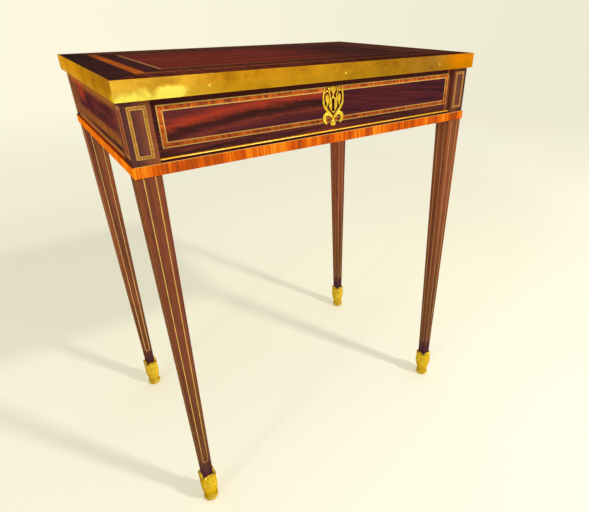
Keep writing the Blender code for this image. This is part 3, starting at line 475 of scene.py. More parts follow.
def add_node(tree, kind, *inputs, stops=None, **settings):
    """Adds a node with its settings and links, and gives one of its outputs, or all of them where out is
    None.

    A kind may be one of the sums, or name its operation after a space. The inputs come in the order of the
    node's usual sockets, or as one dictionary that says which. stops are the places and colours of a colour
    ramp.
    """
    name, _, operation = SUMS.get(kind, kind).partition(" ")
    sockets, usual_out, usual = USUAL.get(kind, (range(len(inputs)), 0, {}))
    out = settings.pop("out", usual_out)
    made = tree.nodes.new("ShaderNode" + name)
    if operation:
        made.operation = operation
    for key, value in {**usual, **settings}.items():
        setattr(made, key, value)
    if stops:
        elements = made.color_ramp.elements
        while len(elements) < len(stops):
            elements.new(0.5)
        for element, (place, colour) in zip(elements, stops.items()):
            element.position, element.color = place, rgba(colour)
    named = inputs[0] if inputs and isinstance(inputs[0], dict) else dict(zip(sockets, inputs))
    for key, value in named.items():
        socket = made.inputs[key]
        if isinstance(value, bpy.types.NodeSocket):
            tree.links.new(value, socket)
        else:
            socket.default_value = rgba(value) if socket.type == "RGBA" else value
    return made.outputs if out is None or not made.outputs else made.outputs[out]


def start(name, *nodes):
    """A new material, given to CAD nodes: what adds nodes to its empty tree, and where its points are on the
    object."""
    item = bpy.data.materials.new(name)
    item.use_nodes = True
    item.node_tree.nodes.clear()
    for node in nodes:
        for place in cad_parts[node].material_slots:
            place.link, place.material = "OBJECT", item
    add = partial(add_node, item.node_tree)
    return add, add("TexCoord", out="Object")


def fade(add, colour, shade, value, *span):
    """A colour that turns into another as a value runs over a span: from where, to where, first and last
    share."""
    return add("Mix", add("MapRange", value, *span), colour, shade)


def between(add, value, low, high, soft):
    """1 where a value lies between two limits and 0 outside them, eased over soft inside each."""
    return add("*", add("MapRange", value, low, low + soft),
               add("MapRange", value, high - soft, high, 1.0, 0.0))


def finish_surface(add, colour, roughness, height, depth, **sockets):
    """Ends a material with a Principled shader and a bump of the given depth in metres."""
    bump = add("Bump", {"Height": height, "Distance": depth, "Strength": 1.0})
    inputs = {"Base Color": colour, "Roughness": roughness, "Normal": bump}
    inputs.update({key.replace("_", " "): value for key, value in sockets.items()})
    add("OutputMaterial", add("BsdfPrincipled", inputs))


def streaks(add, vector, across, along, axis, seed, detail=4.0, wobble=0.0, roughness=0.55):
    """Noise drawn out along one axis: streaks about as wide as across and as long as along, in metres."""
    scale = [1 / across] * 3
    scale[axis] = 1 / along
    placed = add("Mapping", {"Vector": vector, "Location": (seed, 1.7 * seed, 0.6 * seed), "Scale": scale})
    return add("TexNoise", placed, 1.0, detail, roughness, wobble)


def grained(add, vector, colour, axis, fibre, pores, rough, seed):
    """Fibres 26 times as long as wide that lighten and darken a colour, and short dark open pores between
    them.

    Gives the colour, the roughness and a height for the bump. Real fibres are 0.1 to 0.3 mm wide; they are
    drawn at 0.6 to 1 mm so that they show.
    """
    fine = streaks(add, vector, fibre, fibre * 26, axis, seed + 3.1, 3.0)
    pore = add("MapRange", streaks(add, vector, fibre * 0.55, fibre * 11, axis, seed + 7.7, 2.0), 0.6, 0.74)
    toned = add("scale", colour, add("MapRange", fine, 0.3, 0.7, 0.8, 1.16))
    toned = add("scale", toned, add("-", 1.0, add("*", pore, pores)))
    height = add("-", fine, add("*", pore, 0.8))
    return toned, add("MapRange", fine, 0.3, 0.7, rough[1], rough[0]), height


def polished(add, colour, rough, height, depth=0.00005, shine=0.14, sheen_rough=0.15):
    """Ends a material under a polish that fades where the surface is seen edge on, as a thin worn polish
    does."""
    facing = add("LayerWeight", {"Blend": 0.5}, out="Facing")
    finish_surface(add, colour, rough, height, depth, Specular_IOR_Level=0.0,
                   Coat_Weight=add("MapRange", facing, 0.35, 0.85, shine, 0.012), Coat_Roughness=sheen_rough)


def banding_place(add, vector, node, mirrored=False):
    """Coordinates on a mitred frame: along and across each strip, and how far a point is in from the outer
    edge.

    A strip is a side one where |u| - U > |v| - V, with U and V the frame's half sizes. Each of the four
    strips gets its own third coordinate, so that no two show the same grain. mirrored reads |x| and |y|, for
    a frame that stands on every post. Also gives 1 on side strips, and 1 on the strips towards +.
    """
    low, high = low_high(node)
    centre, half = ((low + high) / 2).tolist(), ((high - low) / 2).tolist()
    flat = []
    for k, value in enumerate(add("SeparateXYZ", vector)):
        if half[k] == min(half):
            continue
        if mirrored and k != 2:
            value, centre[k] = add("abs", value), abs(centre[k])
        off = add("-", value, centre[k])
        flat.append((off, add("-", add("abs", off), half[k])))
    (u, p), (v, q) = flat
    side = add(">", p, q)
    along, across = (add("Mix", {0: side, 2: a, 3: b}, data_type="FLOAT", out=0) for a, b in ((u, v), (v, u)))
    plus = add(">", across, 0.0)
    own = add("+", add("*", side, 0.31), add("*", plus, 0.17))
    inwards = add("*", add("max", p, q), -1.0)
    return add("CombineXYZ", along, across, own), inwards, side, plus


def strip_tones(add, place, side, plus, tints):
    """The tones of a frame's strips at the left, right, front and back, which carry the top's painted
    shading;
    the front one is painted darker towards the right, and the left one towards the back."""
    left, right, front, back = (linear(code) for code in tints)
    x, y, _ = add("SeparateXYZ", place)
    front = fade(add, front, [0.52 * v for v in front], x, -0.14, 0.14)
    left = fade(add, left, [0.55 * v for v in left], y, 0.03, 0.16)
    return add("Mix", side, add("Mix", plus, front, back), add("Mix", plus, left, right))


def top_line(add, place, colour):
    """Lays the top's browned boxwood line, 4 mm wide on the top_string's middle, over a colour, with the
    top's painted shading.
    """
    _, inwards, side, plus = banding_place(add, place, "top_string")
    tone = strip_tones(add, place, side, plus, ("#A87042", "#5A3028", "#80502F", "#6A4030"))
    return add("Mix", between(add, inwards, -0.0013, 0.0033, 0.0005), colour, tone)


def crossbanded(name, node, stops, width, seed, fibre=0.0008, tints=None, lined=False, dimmed=False):
    """Veneer laid with its grain across each strip of a mitred frame, in streaks about as wide as width.

    tints are the tones of the strips where they differ, the top's painted shading. lined lays the top's thin
    line over the veneer next to it. dimmed browns the lower part of the drawer's banding, which is a piece of
    its own; the others go on their nodes.
    """
    add, place = start(name, *() if dimmed else (node,))
    vector, _, side, plus = banding_place(add, place, node)
    colour = add("ValToRGB", streaks(add, vector, width, width * 9, 1, seed, 5.0, 0.4), stops=stops)
    if tints:
        colour = add("Mix", 1.0, colour, strip_tones(add, place, side, plus, tints), blend_type="MULTIPLY")
    if lined:
        colour = top_line(add, place, colour)
    if dimmed:
        height = add("SeparateXYZ", place, out=2)
        colour = add("scale", colour, add("MapRange", height, DRAWER_FOOT, DRAWER_WAIST, 0.62, 1.06))
    polished(add, *grained(add, vector, colour, 1, fibre, 0.45, (0.3, 0.45), seed), 0.00004, sheen_rough=0.16)


def leg_mahogany(main):
    """Straight-grained mahogany, scraped and French polished: a brown that turns violet on the posts and low
    down."""
    add, place = start("mahogany_leg_french_polished", *(f"leg_{corner}" for corner in CORNERS))
    broad = streaks(add, place, 0.0075, 0.42, 2, 1.3, 4.0, 0.25)
    brown = add("ValToRGB", broad, stops={0.32: "#5C3026", 0.46: main, 0.56: "#84462E", 0.7: "#8C4C2A"})
    violet = add("ValToRGB", broad, stops={0.32: "#4A2A2A", 0.5: "#6A3A2E", 0.64: "#7C4434"})
    x, y, z = add("SeparateXYZ", place)
    # on a post, the margin outside the front's banding differs from its field, and the side's field is redder
    _, inwards, _, _ = banding_place(add, place, "post_banding_front_left_end", mirrored=True)
    margin = fade(add, "#925030", "#6E3A26", x, -0.1, 0.1)
    margin = fade(add, margin, "#4E2C2E", add("abs", x), 0.262, 0.284)
    violet = add("Mix", add("*", add("<", inwards, 0.0), 0.75), violet, margin)
    _, inwards, _, _ = banding_place(add, place, "post_banding_front_left_side", mirrored=True)
    violet = add("Mix", add("*", add(">", inwards, 0.0), 0.8), violet, "#9A482D")
    low = add("ValToRGB", broad, stops={0.36: "#361A28", 0.62: "#552A34"})
    # above, the back legs and the front right one are painted lighter than the front left one, painted light
    # where the frieze shades them; below, all have darkened alike
    at_right = add(">", x, 0.0)
    front = add("Mix", at_right, (0.98, 0.97, 0.94), (1.24, 1.26, 1.02))
    back = add("Mix", at_right, (1.44, 1.62, 1.5), (1.26, 1.18, 1.16))
    tone = fade(add, (0.78, 0.96, 0.74), add("Mix", add(">", y, 0.0), front, back), z, 0.14, 0.44)
    brown = add("Mix", 1.0, brown, tone, blend_type="MULTIPLY")
    brown = fade(add, brown, low, z, 0.072, 0.125, 0.95, 0.0)
    colour = fade(add, brown, violet, z, CASE_LOW - 0.004, CASE_LOW + 0.01)
    polished(add, *grained(add, place, colour, 2, 0.0008, 0.5, (0.3, 0.44), 2.0), sheen_rough=0.14)


def board_mahogany(name, nodes, stops, seed, streak=0.01, reach=0.16, dark=None, lined=False):
    """Mahogany board or veneer with its grain from left to right, and a darker region of painted shade where
    one is given.
    """
    add, place = start(name, *nodes)
    broad = streaks(add, place, streak, reach, 0, seed, 5.0, 0.6)
    colour = add("ValToRGB", broad, stops=stops)
    if dark:
        colour = patched(add, place, colour, broad, *dark)
    if lined:
        colour = top_line(add, place, colour)
    polished(add, *grained(add, place, colour, 0, 0.0008, 0.5, (0.3, 0.46), seed))


def patched(add, place, colour, broad, middle, reach_of, shade, full=1.0, ragged=0.8):
    """A colour with a soft-edged patch of another in it: an ellipsoid whose edge follows the streaks."""
    away = add("VectorMath MULTIPLY", add("VectorMath SUBTRACT", place, middle), [1 / v for v in reach_of])
    uneven = add("*+", broad, ragged, 0.4 - 0.5 * ragged)
    return fade(add, colour, shade, add("+", add("length", away), uneven), 0.7, 1.7, full, 0.0)


def apron_figure(add, place, axis):
    """The aprons' wood: dark maroon, with a painted orange glow under the rim for the light that the brass
    reflects onto it; the side ones redden, then turn brown, towards the back."""
    _, y, z = add("SeparateXYZ", place)
    y = y if axis == 1 else 0.0
    broad = streaks(add, place, 0.012, 0.09, axis, 2.0, 5.0, 0.6)
    colour = add("ValToRGB", broad, stops={0.3: "#401A1E", 0.5: "#642A2A", 0.66: "#7E342C"})
    for side in (-HALF_X, HALF_X):
        colour = patched(add, place, colour, broad, (side, 0.015, 0.686), (0.05, 0.032, 0.016), "#4E1C1D",
                         0.85)
        colour = patched(add, place, colour, broad, (side, 0.078, 0.695), (0.05, 0.034, 0.0125), "#B03A24",
                         0.92, 1.4)
    colour = fade(add, colour, "#884A2C", add("*+", broad, 0.034, y), 0.106, 0.142, 0.0, 0.85)
    # under the rim a painted orange glow stands for the light that the brass rim reflects
    return fade(add, colour, fade(add, "#AC6626", "#C4602A", y, 0.02, 0.08), z, 0.699, 0.709, 0.0, 0.95)


def apron_mahogany(name, axis, *nodes):
    """Figured mahogany veneer on the aprons, French polished, with a painted glow towards the top."""
    add, place = start(name, *nodes)
    polished(add, *grained(add, place, apron_figure(add, place, axis), axis, 0.0008, 0.5, (0.3, 0.46), 2.0))


def drawer_mahogany():
    """Curl mahogany veneer cut through a fork of the tree: a feathered dark plume rises across redder
    wood."""
    add, place = start("mahogany_curl_veneer", "drawer_front")
    x, _, z = add("SeparateXYZ", place)
    # the plume's middle line climbs quickly from the lower left corner, then evens out towards the keyhole
    from_x, to_x = -0.25, -0.02
    line = add("MapRange", x, from_x, to_x, 0.67, 0.6895, interpolation_type="LINEAR")
    bow = add("*", add("+", x, -from_x), add("+", x, -to_x))
    off = add("-", z, add("-", line, add("*", bow, 0.45)))
    # long streaks lie along the plume, 3 to 6 mm apart; feathers stand across it, about 1.2 mm apart
    turned = add("Mapping", {"Vector": place, "Rotation": (0.0, math.radians(-4.5), 0.0)})
    along = streaks(add, turned, 0.007, 0.09, 0, 2.0, 4.0, 0.5)
    slant = add("Mapping", {"Vector": place, "Rotation": (0.0, math.radians(-68), 0.0)})
    feather = streaks(add, slant, 0.0015, 0.012, 0, 4.0, 4.0, 0.6, 0.65)
    off = add("+", off, add("*+", along, 0.018, -0.009))
    off = add("+", off, add("*+", feather, 0.0095, -0.00475))
    layers = add("MapRange", off, -0.02, 0.02, interpolation_type="LINEAR")
    figure = add("ValToRGB", layers, stops={
        0.02: "#4A1C24", 0.17: "#5C2424", 0.26: "#763024", 0.35: "#5A2422", 0.44: "#401A1A",
        0.55: "#401A16", 0.65: "#7C2C1E", 0.76: "#A23622", 0.86: "#8C3022", 0.98: "#642828"})
    # the plume is darkest towards the keyhole
    core = add("*", add("MapRange", off, 0.004, 0.001), add("MapRange", off, -0.008, -0.004))
    figure = add("Mix", add("*", core, add("MapRange", x, -0.17, -0.1, 0.0, 0.5)), figure, "#2E1613")
    plain = add("ValToRGB", streaks(add, turned, 0.0045, 0.13, 0, 5.0, 5.0, 0.5),
                stops={0.34: "#36141C", 0.5: "#481A21", 0.62: "#581F22", 0.74: "#6C2824"})
    colour = fade(add, plain, figure, x, -0.03, 0.03, 1.0, 0.0)
    # the border outside the banding is plain dark wood
    border_at = 0.2462
    low, high = (float(corner[2]) for corner in low_high("drawer_crossband"))
    above = add("-", add("abs", add("-", z, (low + high) / 2)), (high - low) / 2 - 0.0022)
    border = add(">", add("max", add("-", add("abs", x), border_at), above), 0.0)
    plain = add("ValToRGB", streaks(add, place, 0.004, 0.07, 0, 5.0, 5.0, 0.4),
                stops={0.34: "#301418", 0.5: "#4A1E1E", 0.6: "#602822", 0.74: "#7A3626"})
    # towards its top the border is painted darker, a painted shadow of the rim
    plain = fade(add, plain, "#44140F", z, 0.69, 0.7, 0.0, 0.8)
    plain = fade(add, plain, "#8C4A32", x, border_at, border_at + 0.0008, 0.0, 0.9)
    colour = add("Mix", border, colour, plain)
    polished(add, *grained(add, turned, colour, 0, 0.0008, 0.45, (0.28, 0.42), 1.0), 0.00004,
             sheen_rough=0.12)


def apron_banding(name, node, axis):
    """Veneers let into an apron: a boxwood string browned by polish, a dark strip and brown crossbanding, by
    height.

    They show along the bottom; higher up the ring is of the field's own wood. The dark strip is browner at
    the back.
    """
    add, place = start(name)
    vector, inwards, _, _ = banding_place(add, place, node)
    _, y, z = add("SeparateXYZ", place)
    y = y if axis == 1 else 0.0
    base = float(low_high(node)[0][2])
    brown, dark = (add("ValToRGB", streaks(add, vector, 0.006, reach, way, seed), stops=stops)
                   for reach, way, seed, stops in (
                       (0.05, 1, 6.0, {0.35: "#84481C", 0.55: "#A05C28", 0.7: "#B06C34"}),
                       (0.06, 0, 2.0, {0.35: "#46241E", 0.55: "#643626", 0.7: "#74442C"})))
    dark = fade(add, dark, "#884C24", y, -0.03, 0.07, 0.0, 0.85)
    colour = fade(add, dark, brown, z, base + 0.0078, base + 0.0098)
    colour = fade(add, colour, "#8A5238", y, 0.06, 0.11, 0.0, 0.7)
    colour = fade(add, apron_figure(add, place, axis), colour, z, base + 0.015, base + 0.029, 1.0, 0.0)
    colour = fade(add, colour, "#AE7036", inwards, 0.0012, 0.0016, 0.7, 0.0)
    colour = add("Mix", between(add, z, base - 0.0028, base - 0.0002, 0.0004), colour, "#C07C38")
    colour = fade(add, colour, "#9A401A", z, base - 0.003, base - 0.0026, 1.0, 0.0)
    polished(add, *grained(add, vector, colour, 1, 0.0006, 0.35, (0.32, 0.46), 3.0), 0.00003)


def post_banding(name, kind, strings, core):
    """Three strips side by side, boxwood, brown crossbanding and boxwood, told apart by the depth from the
    edge."""
    add, place = start(name, *(f"post_banding_{corner}_{kind}" for corner in CORNERS))
    vector, inwards, _, _ = banding_place(add, place, f"post_banding_front_left_{kind}", True)
    pale, brown = (add("ValToRGB", streaks(add, vector, wide, 0.03, way, 7.0, 3.5),
                       stops={0.35: [0.62 * v for v in shade], 0.6: shade})
                   for shade, wide, way in ((strings, 0.0016, 0), (core, 0.003, 1)))
    pale = fade(add, pale, "#9A6440", add("SeparateXYZ", place, out=0), -0.1, 0.1, 0.0, 0.45)
    colour = add("Mix", between(add, inwards, 0.00125, 0.00295, 0.00015), pale, brown)
    polished(add, *grained(add, vector, colour, 1, 0.0006, 0.35, (0.32, 0.46), 3.0), 0.00003)


def band_satinwood(main):
    """Satinwood cut across the grain for the band: bright orange, in upright streaks and broad lighter
    leaves."""
    add, place = start("satinwood_cross_cut_band")
    broad = streaks(add, place, 0.024, 0.4, 2, 3.3, 2.0)
    fine = streaks(add, place, 0.0026, 0.08, 2, 6.1, 4.0, 0.3)
    both = add("*+", fine, 0.36, add("*", broad, 0.64))
    colour = add("ValToRGB", both, stops={0.41: "#A84812", 0.47: "#D05408", 0.53: main, 0.6: "#FA9220"})
    # the sides' strips are painted brighter, as painted light, with a dark red ledge on top; the front's and
    # back's ledge is painted pale, as a painted highlight along it
    x, _, z = add("SeparateXYZ", place)
    side = add(">", add("abs", x), BAND_OUT[0] - BAND_THICK)
    brighter = add("Mix", 1.0, add("Mix", 0.6, colour, main), (1.26, 1.36, 0.6), blend_type="MULTIPLY")
    top = BAND_HIGH[2]
    colour = fade(add, add("Mix", side, colour, brighter), add("Mix", side, "#DCA04C", "#A03C0C"), z,
                  top - 0.001, top - 0.0004, 0.0, 0.9)
    polished(add, *grained(add, place, colour, 2, 0.0007, 0.12, (0.3, 0.42), 5.0), 0.00003, shine=0.06)


def line_boxwood(main):
    """Boxwood stringing, pale and close-grained: a greenish gold under the old polish, brown where it has had
    more."""
    add, place = start("boxwood_stringing")
    colour = add("ValToRGB", add("TexNoise", place, 60.0, 4.0), stops={
        0.3: [0.74 * v for v in main], 0.5: main, 0.7: [min(1.25 * v, 1.0) for v in main]})
    x, y, z = add("SeparateXYZ", place)
    colour = fade(add, colour, "#B8804C", z, 0.1, 0.2, 0.8, 0.0)
    # the right legs' strings are duller, those at the back paler on the left and browner on the right
    right_leg = add("*", add(">", x, 0.2), add("<", z, LEG_TOP))
    colour = add("Mix", add("*", right_leg, 0.5), colour, "#9C6C4C")
    back = add("Mix", add(">", x, 0.0), "#FCC87C", "#B68654")
    colour = add("Mix", add("*", add(">", y, 0.0), 0.7), colour, back)
    drawer_low = add("*", add("MapRange", z, DRAWER_FOOT, DRAWER_WAIST, 0.9, 0.0), add(">", z, LEG_TOP))
    colour = add("Mix", drawer_low, colour, "#BC8B46")
    fine = add("TexNoise", place, 1800.0, 2.0)
    polished(add, colour, add("MapRange", fine, 0.3, 0.7, 0.32, 0.48), fine, 0.00002, shine=0.1)


def drawer_oak(main):
    """Plain-sawn oak, planed and left raw inside: wide grey-brown grain with long open pores."""
    add, place = start("oak_planed", "top_core", "drawer_back", "drawer_bottom", *(
        f"drawer_{kind}_{side}" for kind in ("side", "runner", "kicker", "stop")
        for side in ("left", "right")))
    broad = streaks(add, place, 0.009, 0.3, 1, 2.2, 5.0, 0.8)
    colour = add("ValToRGB", broad, stops={0.3: "#7C5C3B", 0.5: main, 0.7: "#B8925F"})
    finish_surface(add, *grained(add, place, colour, 1, 0.001, 0.55, (0.55, 0.72), 4.0), 0.0001,
                   Specular_IOR_Level=0.35)


def rolled_brass(name, stops, rough, seed, dented, nodes=(), reflection_tones=None, painted_highlights=()):
    """Sheet brass, rolled, bent on and rubbed by hand: a softly mottled gold with lengthwise rubbing marks.

    The tones along the front from left to right and along the sides from front to back are painted
    reflections; the patches given last are painted highlights. The piece that has them has a highlight
    painted on its ends too.
    """
    add, place = start(name, *nodes)
    mottle = add("TexNoise", place, 26.0, 5.0, 0.55, 0.5)
    mixed = add("*+", mottle, 0.75, add("*", add("TexNoise", place, 150.0, 3.0, 0.6), 0.25))
    colour = add("ValToRGB", mixed, stops=stops)
    roughness = add("MapRange", mixed, 0.35, 0.65, rough[1], rough[0])
    # the tones along the front and along the sides are painted reflections, multiplied into the mottled brass
    if reflection_tones:
        split = add("SeparateXYZ", place)
        front, side = (add("ValToRGB", add("MapRange", split[k], -RIM_OUT[k], RIM_OUT[k],
                                           interpolation_type="LINEAR"),
                           stops=reflection_tones[k]) for k in (0, 1))
        on_side, on_front = (add(">", add("abs", split[k]), RIM_OUT[k] - inset)
                             for k, inset in ((0, RIM_THICK), (1, 0.0006)))
        run = add("Mix", add("*", on_side, add("-", 1.0, on_front)), front, side)
        colour = add("Mix", 1.0, colour, run, blend_type="MULTIPLY")
        # patches of painted highlight
        for middle, reach_of, shade in painted_highlights:
            colour = patched(add, place, colour, add("TexNoise", place, 80.0, 2.0), middle, reach_of, shade,
                             ragged=1.9)
        # the hollow attribute is 0 at the rim's ends, where a highlight is painted, and 1 on its top edge,
        # which is made rougher
        flat = add("Attribute", out="Fac", attribute_name="hollow")
        colour = fade(add, colour, "#F8D070", flat, 0.1, 0.48, 0.45, 0.0)
        roughness = add("*+", add("MapRange", flat, 0.55, 0.9), 0.4, roughness)
    # rubbing marks 0.5 mm wide along the strips; dents a centimetre or two across
    rubbed = streaks(add, place, 0.0005, 0.03, 0, seed, 3.0)
    height = add("*+", rubbed, 0.06, add("TexNoise", place, 60.0, 1.0))
    finish_surface(add, colour, roughness, height, dented, Metallic=1.0, Specular_Tint="#ECC926")


def cast_bronze(main):
    """Gilt bronze: cast, chased and mercury gilt, bright where rubbed, brown and matt in the hollows."""
    add, place = start("gilt_bronze_chased")
    mottle = add("TexNoise", place, 180.0, 4.0, 0.6)
    proud = add("ValToRGB", mottle, stops={0.3: "#D8A828", 0.5: main, 0.7: "#FFE060"})
    # on the shoes painted shade darkens it low down, on the left of each one and on the two at the right, and
    # painted light brightens the right of each one
    x, _, z = add("SeparateXYZ", place)
    own = add("-", x, add("*", add("Math SIGN", x), SHOE_MIDDLE))
    shoe_shading = add("*", add("MapRange", z, 0.0, 0.035, 0.84, 1.0), add("MapRange", x, -0.1, 0.1, 1.0, 0.95))
    shoe_shading = add("*", add("MapRange", own, -0.012, 0.008, 0.8, 1.12), shoe_shading)
    shoe_shading = add("max", shoe_shading, add(">", z, 0.1))
    # the hollow attribute darkens the chased recesses, brown and matt as the gilding is there, and on the
    # shoes also gives painted shade where they meet the legs
    depth = add("MapRange", add("Attribute", out="Fac", attribute_name="hollow"), 0.35, 0.95)
    colour = add("Mix", add("*", depth, 0.88), add("scale", proud, shoe_shading), "#6A4C16")
    finish_surface(add, colour, add("*+", depth, 0.3, 0.27), add("TexNoise", place, 900.0, 3.0),
                   0.00008, Metallic=1.0, Specular_Tint="#DCC050")


def filed_steel(main):
    """Wrought steel bolt, filed and oiled: grey with fine file marks."""
    add, place = start("steel_filed", "lock_bolt")
    marks = streaks(add, place, 0.0004, 0.012, 0, 1.0, 3.0)
    colour = add("ValToRGB", marks, stops={0.3: "#77736E", 0.7: main})
    finish_surface(add, colour, add("MapRange", marks, 0.3, 0.7, 0.3, 0.48), marks, 0.00003, Metallic=1.0)


def blend_shades(main, code):
    """A tone given for the standard brass, shifted as far as the chosen brass is from the standard one."""
    return [min(v * m / n, 1.0) for v, m, n in zip(linear(code), main, linear(STANDARD_BRASS))]


# Sizes and colours that a user would change


def a_colour(name, description, code):
    """A colour setting whose usual value is an sRGB hex code."""
    return FloatVectorProperty(name=name, description=description, default=linear(code), subtype="COLOR",
                               min=0, max=1)


def a_length(name, description, default):
    """A setting in metres."""
    return FloatProperty(name=name, description=description, default=default, unit="LENGTH",
                         subtype="DISTANCE")


def a_power(name, description, default):
    """A lamp's power in watts."""
    return FloatProperty(name=name, description=description, default=default, unit="POWER", min=0)


class TableColours(bpy.types.PropertyGroup):
    mahogany: a_colour("Mahogany", "Middle tone of the legs", "#783F2C")
    satinwood: a_colour("Satinwood", "Main tone of the band below the drawer", "#E66E0C")
    boxwood: a_colour("Boxwood", "Tone of the thin strings", "#D6AE58")
    oak: a_colour("Oak", "Tone of the drawer's inside", "#9C7A50")
    brass: a_colour("Brass", "Main tone of the rim", STANDARD_BRASS)
    gilt: a_colour("Gilding", "Tone of the gilt bronze where it is rubbed bright", "#F2CA3C")
    steel: a_colour("Steel", "Tone of the lock's bolt", "#A6A29C")


class MetalworkSizes(bpy.types.PropertyGroup):
    rim_edge: a_length("Rim edge", "Radius of the rim's eased edges", 0.0005)
    rim_wander: a_length("Rim waviness", "How far the rim's face wanders inwards", 0.00016)
    pin_radius: a_length("Pin radius", "Radius of the rim's pin heads", 0.0015)
    pin_height: a_length("Pin height", "How far a pin head stands out of the rim", 0.0003)
    leaf_relief: a_length("Leaf relief", "Height of the ribs and veins chased on the shoes", 0.00032)
    ornament_depth: a_length("Ornament depth", "How far the escutcheon's plate stands out", 0.0012)


class InlaySizes(bpy.types.PropertyGroup):
    string_width: a_length("String width", "Width of the strings let into the legs", 0.00116)
    string_depth: a_length("String depth", "Depth of those strings", 0.00046)
    frame_string: a_length("Frame string width", "Width of the strings round the drawer", 0.00135)
    band_edge: a_length("Band edge", "Radius of the orange band's eased edges", 0.0006)


class StudioSettings(bpy.types.PropertyGroup):
    floor: a_colour("Floor", "Colour of the floor", "#F4F0D6")
    backdrop: a_colour("Backdrop", "Colour seen behind the floor", "#F6F2DA")
    ambient: FloatProperty(name="Ambient", description="Strength of the light from all round", default=0.74,
                           min=0)
    key_power: a_power("Key lamp", "Power of the lamp that casts the clearer shadows", 35.5)
    side_power: a_power("Side lamp", "Power of the weak lamp on the left", 7.0)
    lens: FloatProperty(name="Lens", description="Focal length for a 36 mm wide sensor", default=26.954,
                        min=1, subtype="DISTANCE_CAMERA", unit="CAMERA")


# Operators


class DressWoods(bpy.types.Operator):
    """Finishes every wooden piece and veneer of the table"""
    bl_idname = "side_table.dress_woods"
    bl_label = "Woods and veneers"

    def execute(self, context):
        colours = context.scene.table_colours
        leg_mahogany(colours.mahogany)
        apron_mahogany("mahogany_apron_figured", 1, "apron_left", "apron_right")
        apron_mahogany("mahogany_back_figured", 0, "apron_back")
        board_mahogany("mahogany_rail_plain", ("front_rail", "front_top_rail"),
                       {0.3: "#2E161D", 0.5: "#482028", 0.66: "#602A30"}, 7.0)
        # the top panel's darker region towards the right is painted shade
        board_mahogany("mahogany_top_panel", ("top_panel",),
                       {0.3: "#4E1C14", 0.5: "#66241B", 0.66: "#7A2E22"},
                       3.0, 0.007, 0.22, ((0.19, 0.02, 0.74), (0.16, 0.35, 2.0), "#3E1D18"), True)
        drawer_mahogany()
        grain = {0.3: "#A8A0A0", 0.48: "#D8D4D4", 0.6: "#F0F0F0", 0.74: "#FFFFFF"}
        strong = {0.34: "#8C8286", 0.46: "#C4BCBC", 0.56: "#F0F0F0", 0.66: "#FFFFFF"}
        stained = {0.34: "#86361C", 0.45: "#B04E1C", 0.56: "#CE621C", 0.7: "#E07C30"}
        # the strips' tints on the top are painted shading
        crossbanded("rosewood_top_border", "top_outer_band", strong, 0.005, 1.0,
                    tints=("#40201E", "#5C301E", "#6A2C1C", "#643624"))
        crossbanded("rosewood_top_inner", "top_inner_band", grain, 0.0045, 4.0,
                    tints=("#4C2422", "#562C26", "#5A281E", "#4E2A22"), lined=True)
        crossbanded("kingwood_top_crossband", "top_crossband", grain, 0.0035, 2.0,
                    tints=("#C4601A", "#62342A", "#8A4626", "#5E3224"))
        crossbanded("boxwood_top_browned", "top_string", grain, 0.005, 6.0, lined=True)
        crossbanded("tulipwood_drawer_crossband", "drawer_crossband", stained, 0.0058, 3.0, 0.0006,
                    dimmed=True)
        for side in ("left", "right", "back"):
            apron_banding(f"apron_{side}_banding", f"apron_{side}_string", 0 if side == "back" else 1)
        browned = [v * share for v, share in zip(colours.boxwood, (0.9, 0.82, 0.8))]
        post_banding("post_banding_front_face", "end", browned, linear("#B46C24"))
        post_banding("post_banding_side_face", "side", linear("#D28E50"), linear("#B06438"))
        band_satinwood(colours.satinwood)
        line_boxwood(colours.boxwood)
        drawer_oak(colours.oak)
        return {"FINISHED"}


class DressMetals(bpy.types.Operator):
    """Makes the brass, gilt bronze and steel, and finishes the lock"""
    bl_idname = "side_table.dress_metals"
    bl_label = "Metals and lock"

    def execute(self, context):
        colours = context.scene.table_colours
        # the front's tones from left to right and the sides' from front to back, as shares of their lengths,
        # are painted reflections
        reflection_tones = [{place: blend_shades(colours.brass, code) for place, code in table.items()} for table in (
            {0.0: "#EABC3C", 0.14: "#E8B636", 0.22: "#D69C1C", 0.5: "#CE981E", 0.59: "#C3901E",
             0.7: "#BF8820", 0.83: "#B58330", 0.88: "#C88820", 0.925: "#EA940C", 1.0: "#EE9A14"},
            {0.0: "#BA8026", 0.35: "#CA8E26", 0.52: "#DC9E24", 0.62: "#ECAC2A", 0.85: "#EAAA2C",
             1.0: "#EEB444"})]
        # patches of painted highlight low on the rim near its left front corner
        painted_highlights = (((-0.278, -RIM_OUT[1], 0.719), (0.034, 0.02, 0.0085), "#FFF062"),
               ((-0.236, -RIM_OUT[1], 0.7225), (0.026, 0.02, 0.0085), "#FFEE66"))
        for finish in (
                ("brass_rim_rubbed", {0.34: "#D8D4CC", 0.5: "#F0F0F0", 0.66: "#FFFFFF"}, (0.26, 0.4), 1.0,
                 0.00022, (), reflection_tones, painted_highlights),
                ("brass_bead_polished", {0.34: "#EDAC34", 0.5: "#F8BC46", 0.64: "#FFCE62"}, (0.4, 0.48), 2.0,
                 0.00002),
                ("brass_lock_filed", {0.34: "#96702A", 0.5: "#B48C3A", 0.64: "#C9A450"}, (0.34, 0.5), 3.0,
                 0.00008, ("lock_case",)),
                ("brass_pin_heads", {0.34: "#F8D050", 0.5: "#FFE468", 0.64: "#FFF29A"}, (0.2, 0.3), 4.0,
                 0.00002)):
            rolled_brass(*finish)
        cast_bronze(colours.gilt)
        filed_steel(colours.steel)
        return {"FINISHED"}


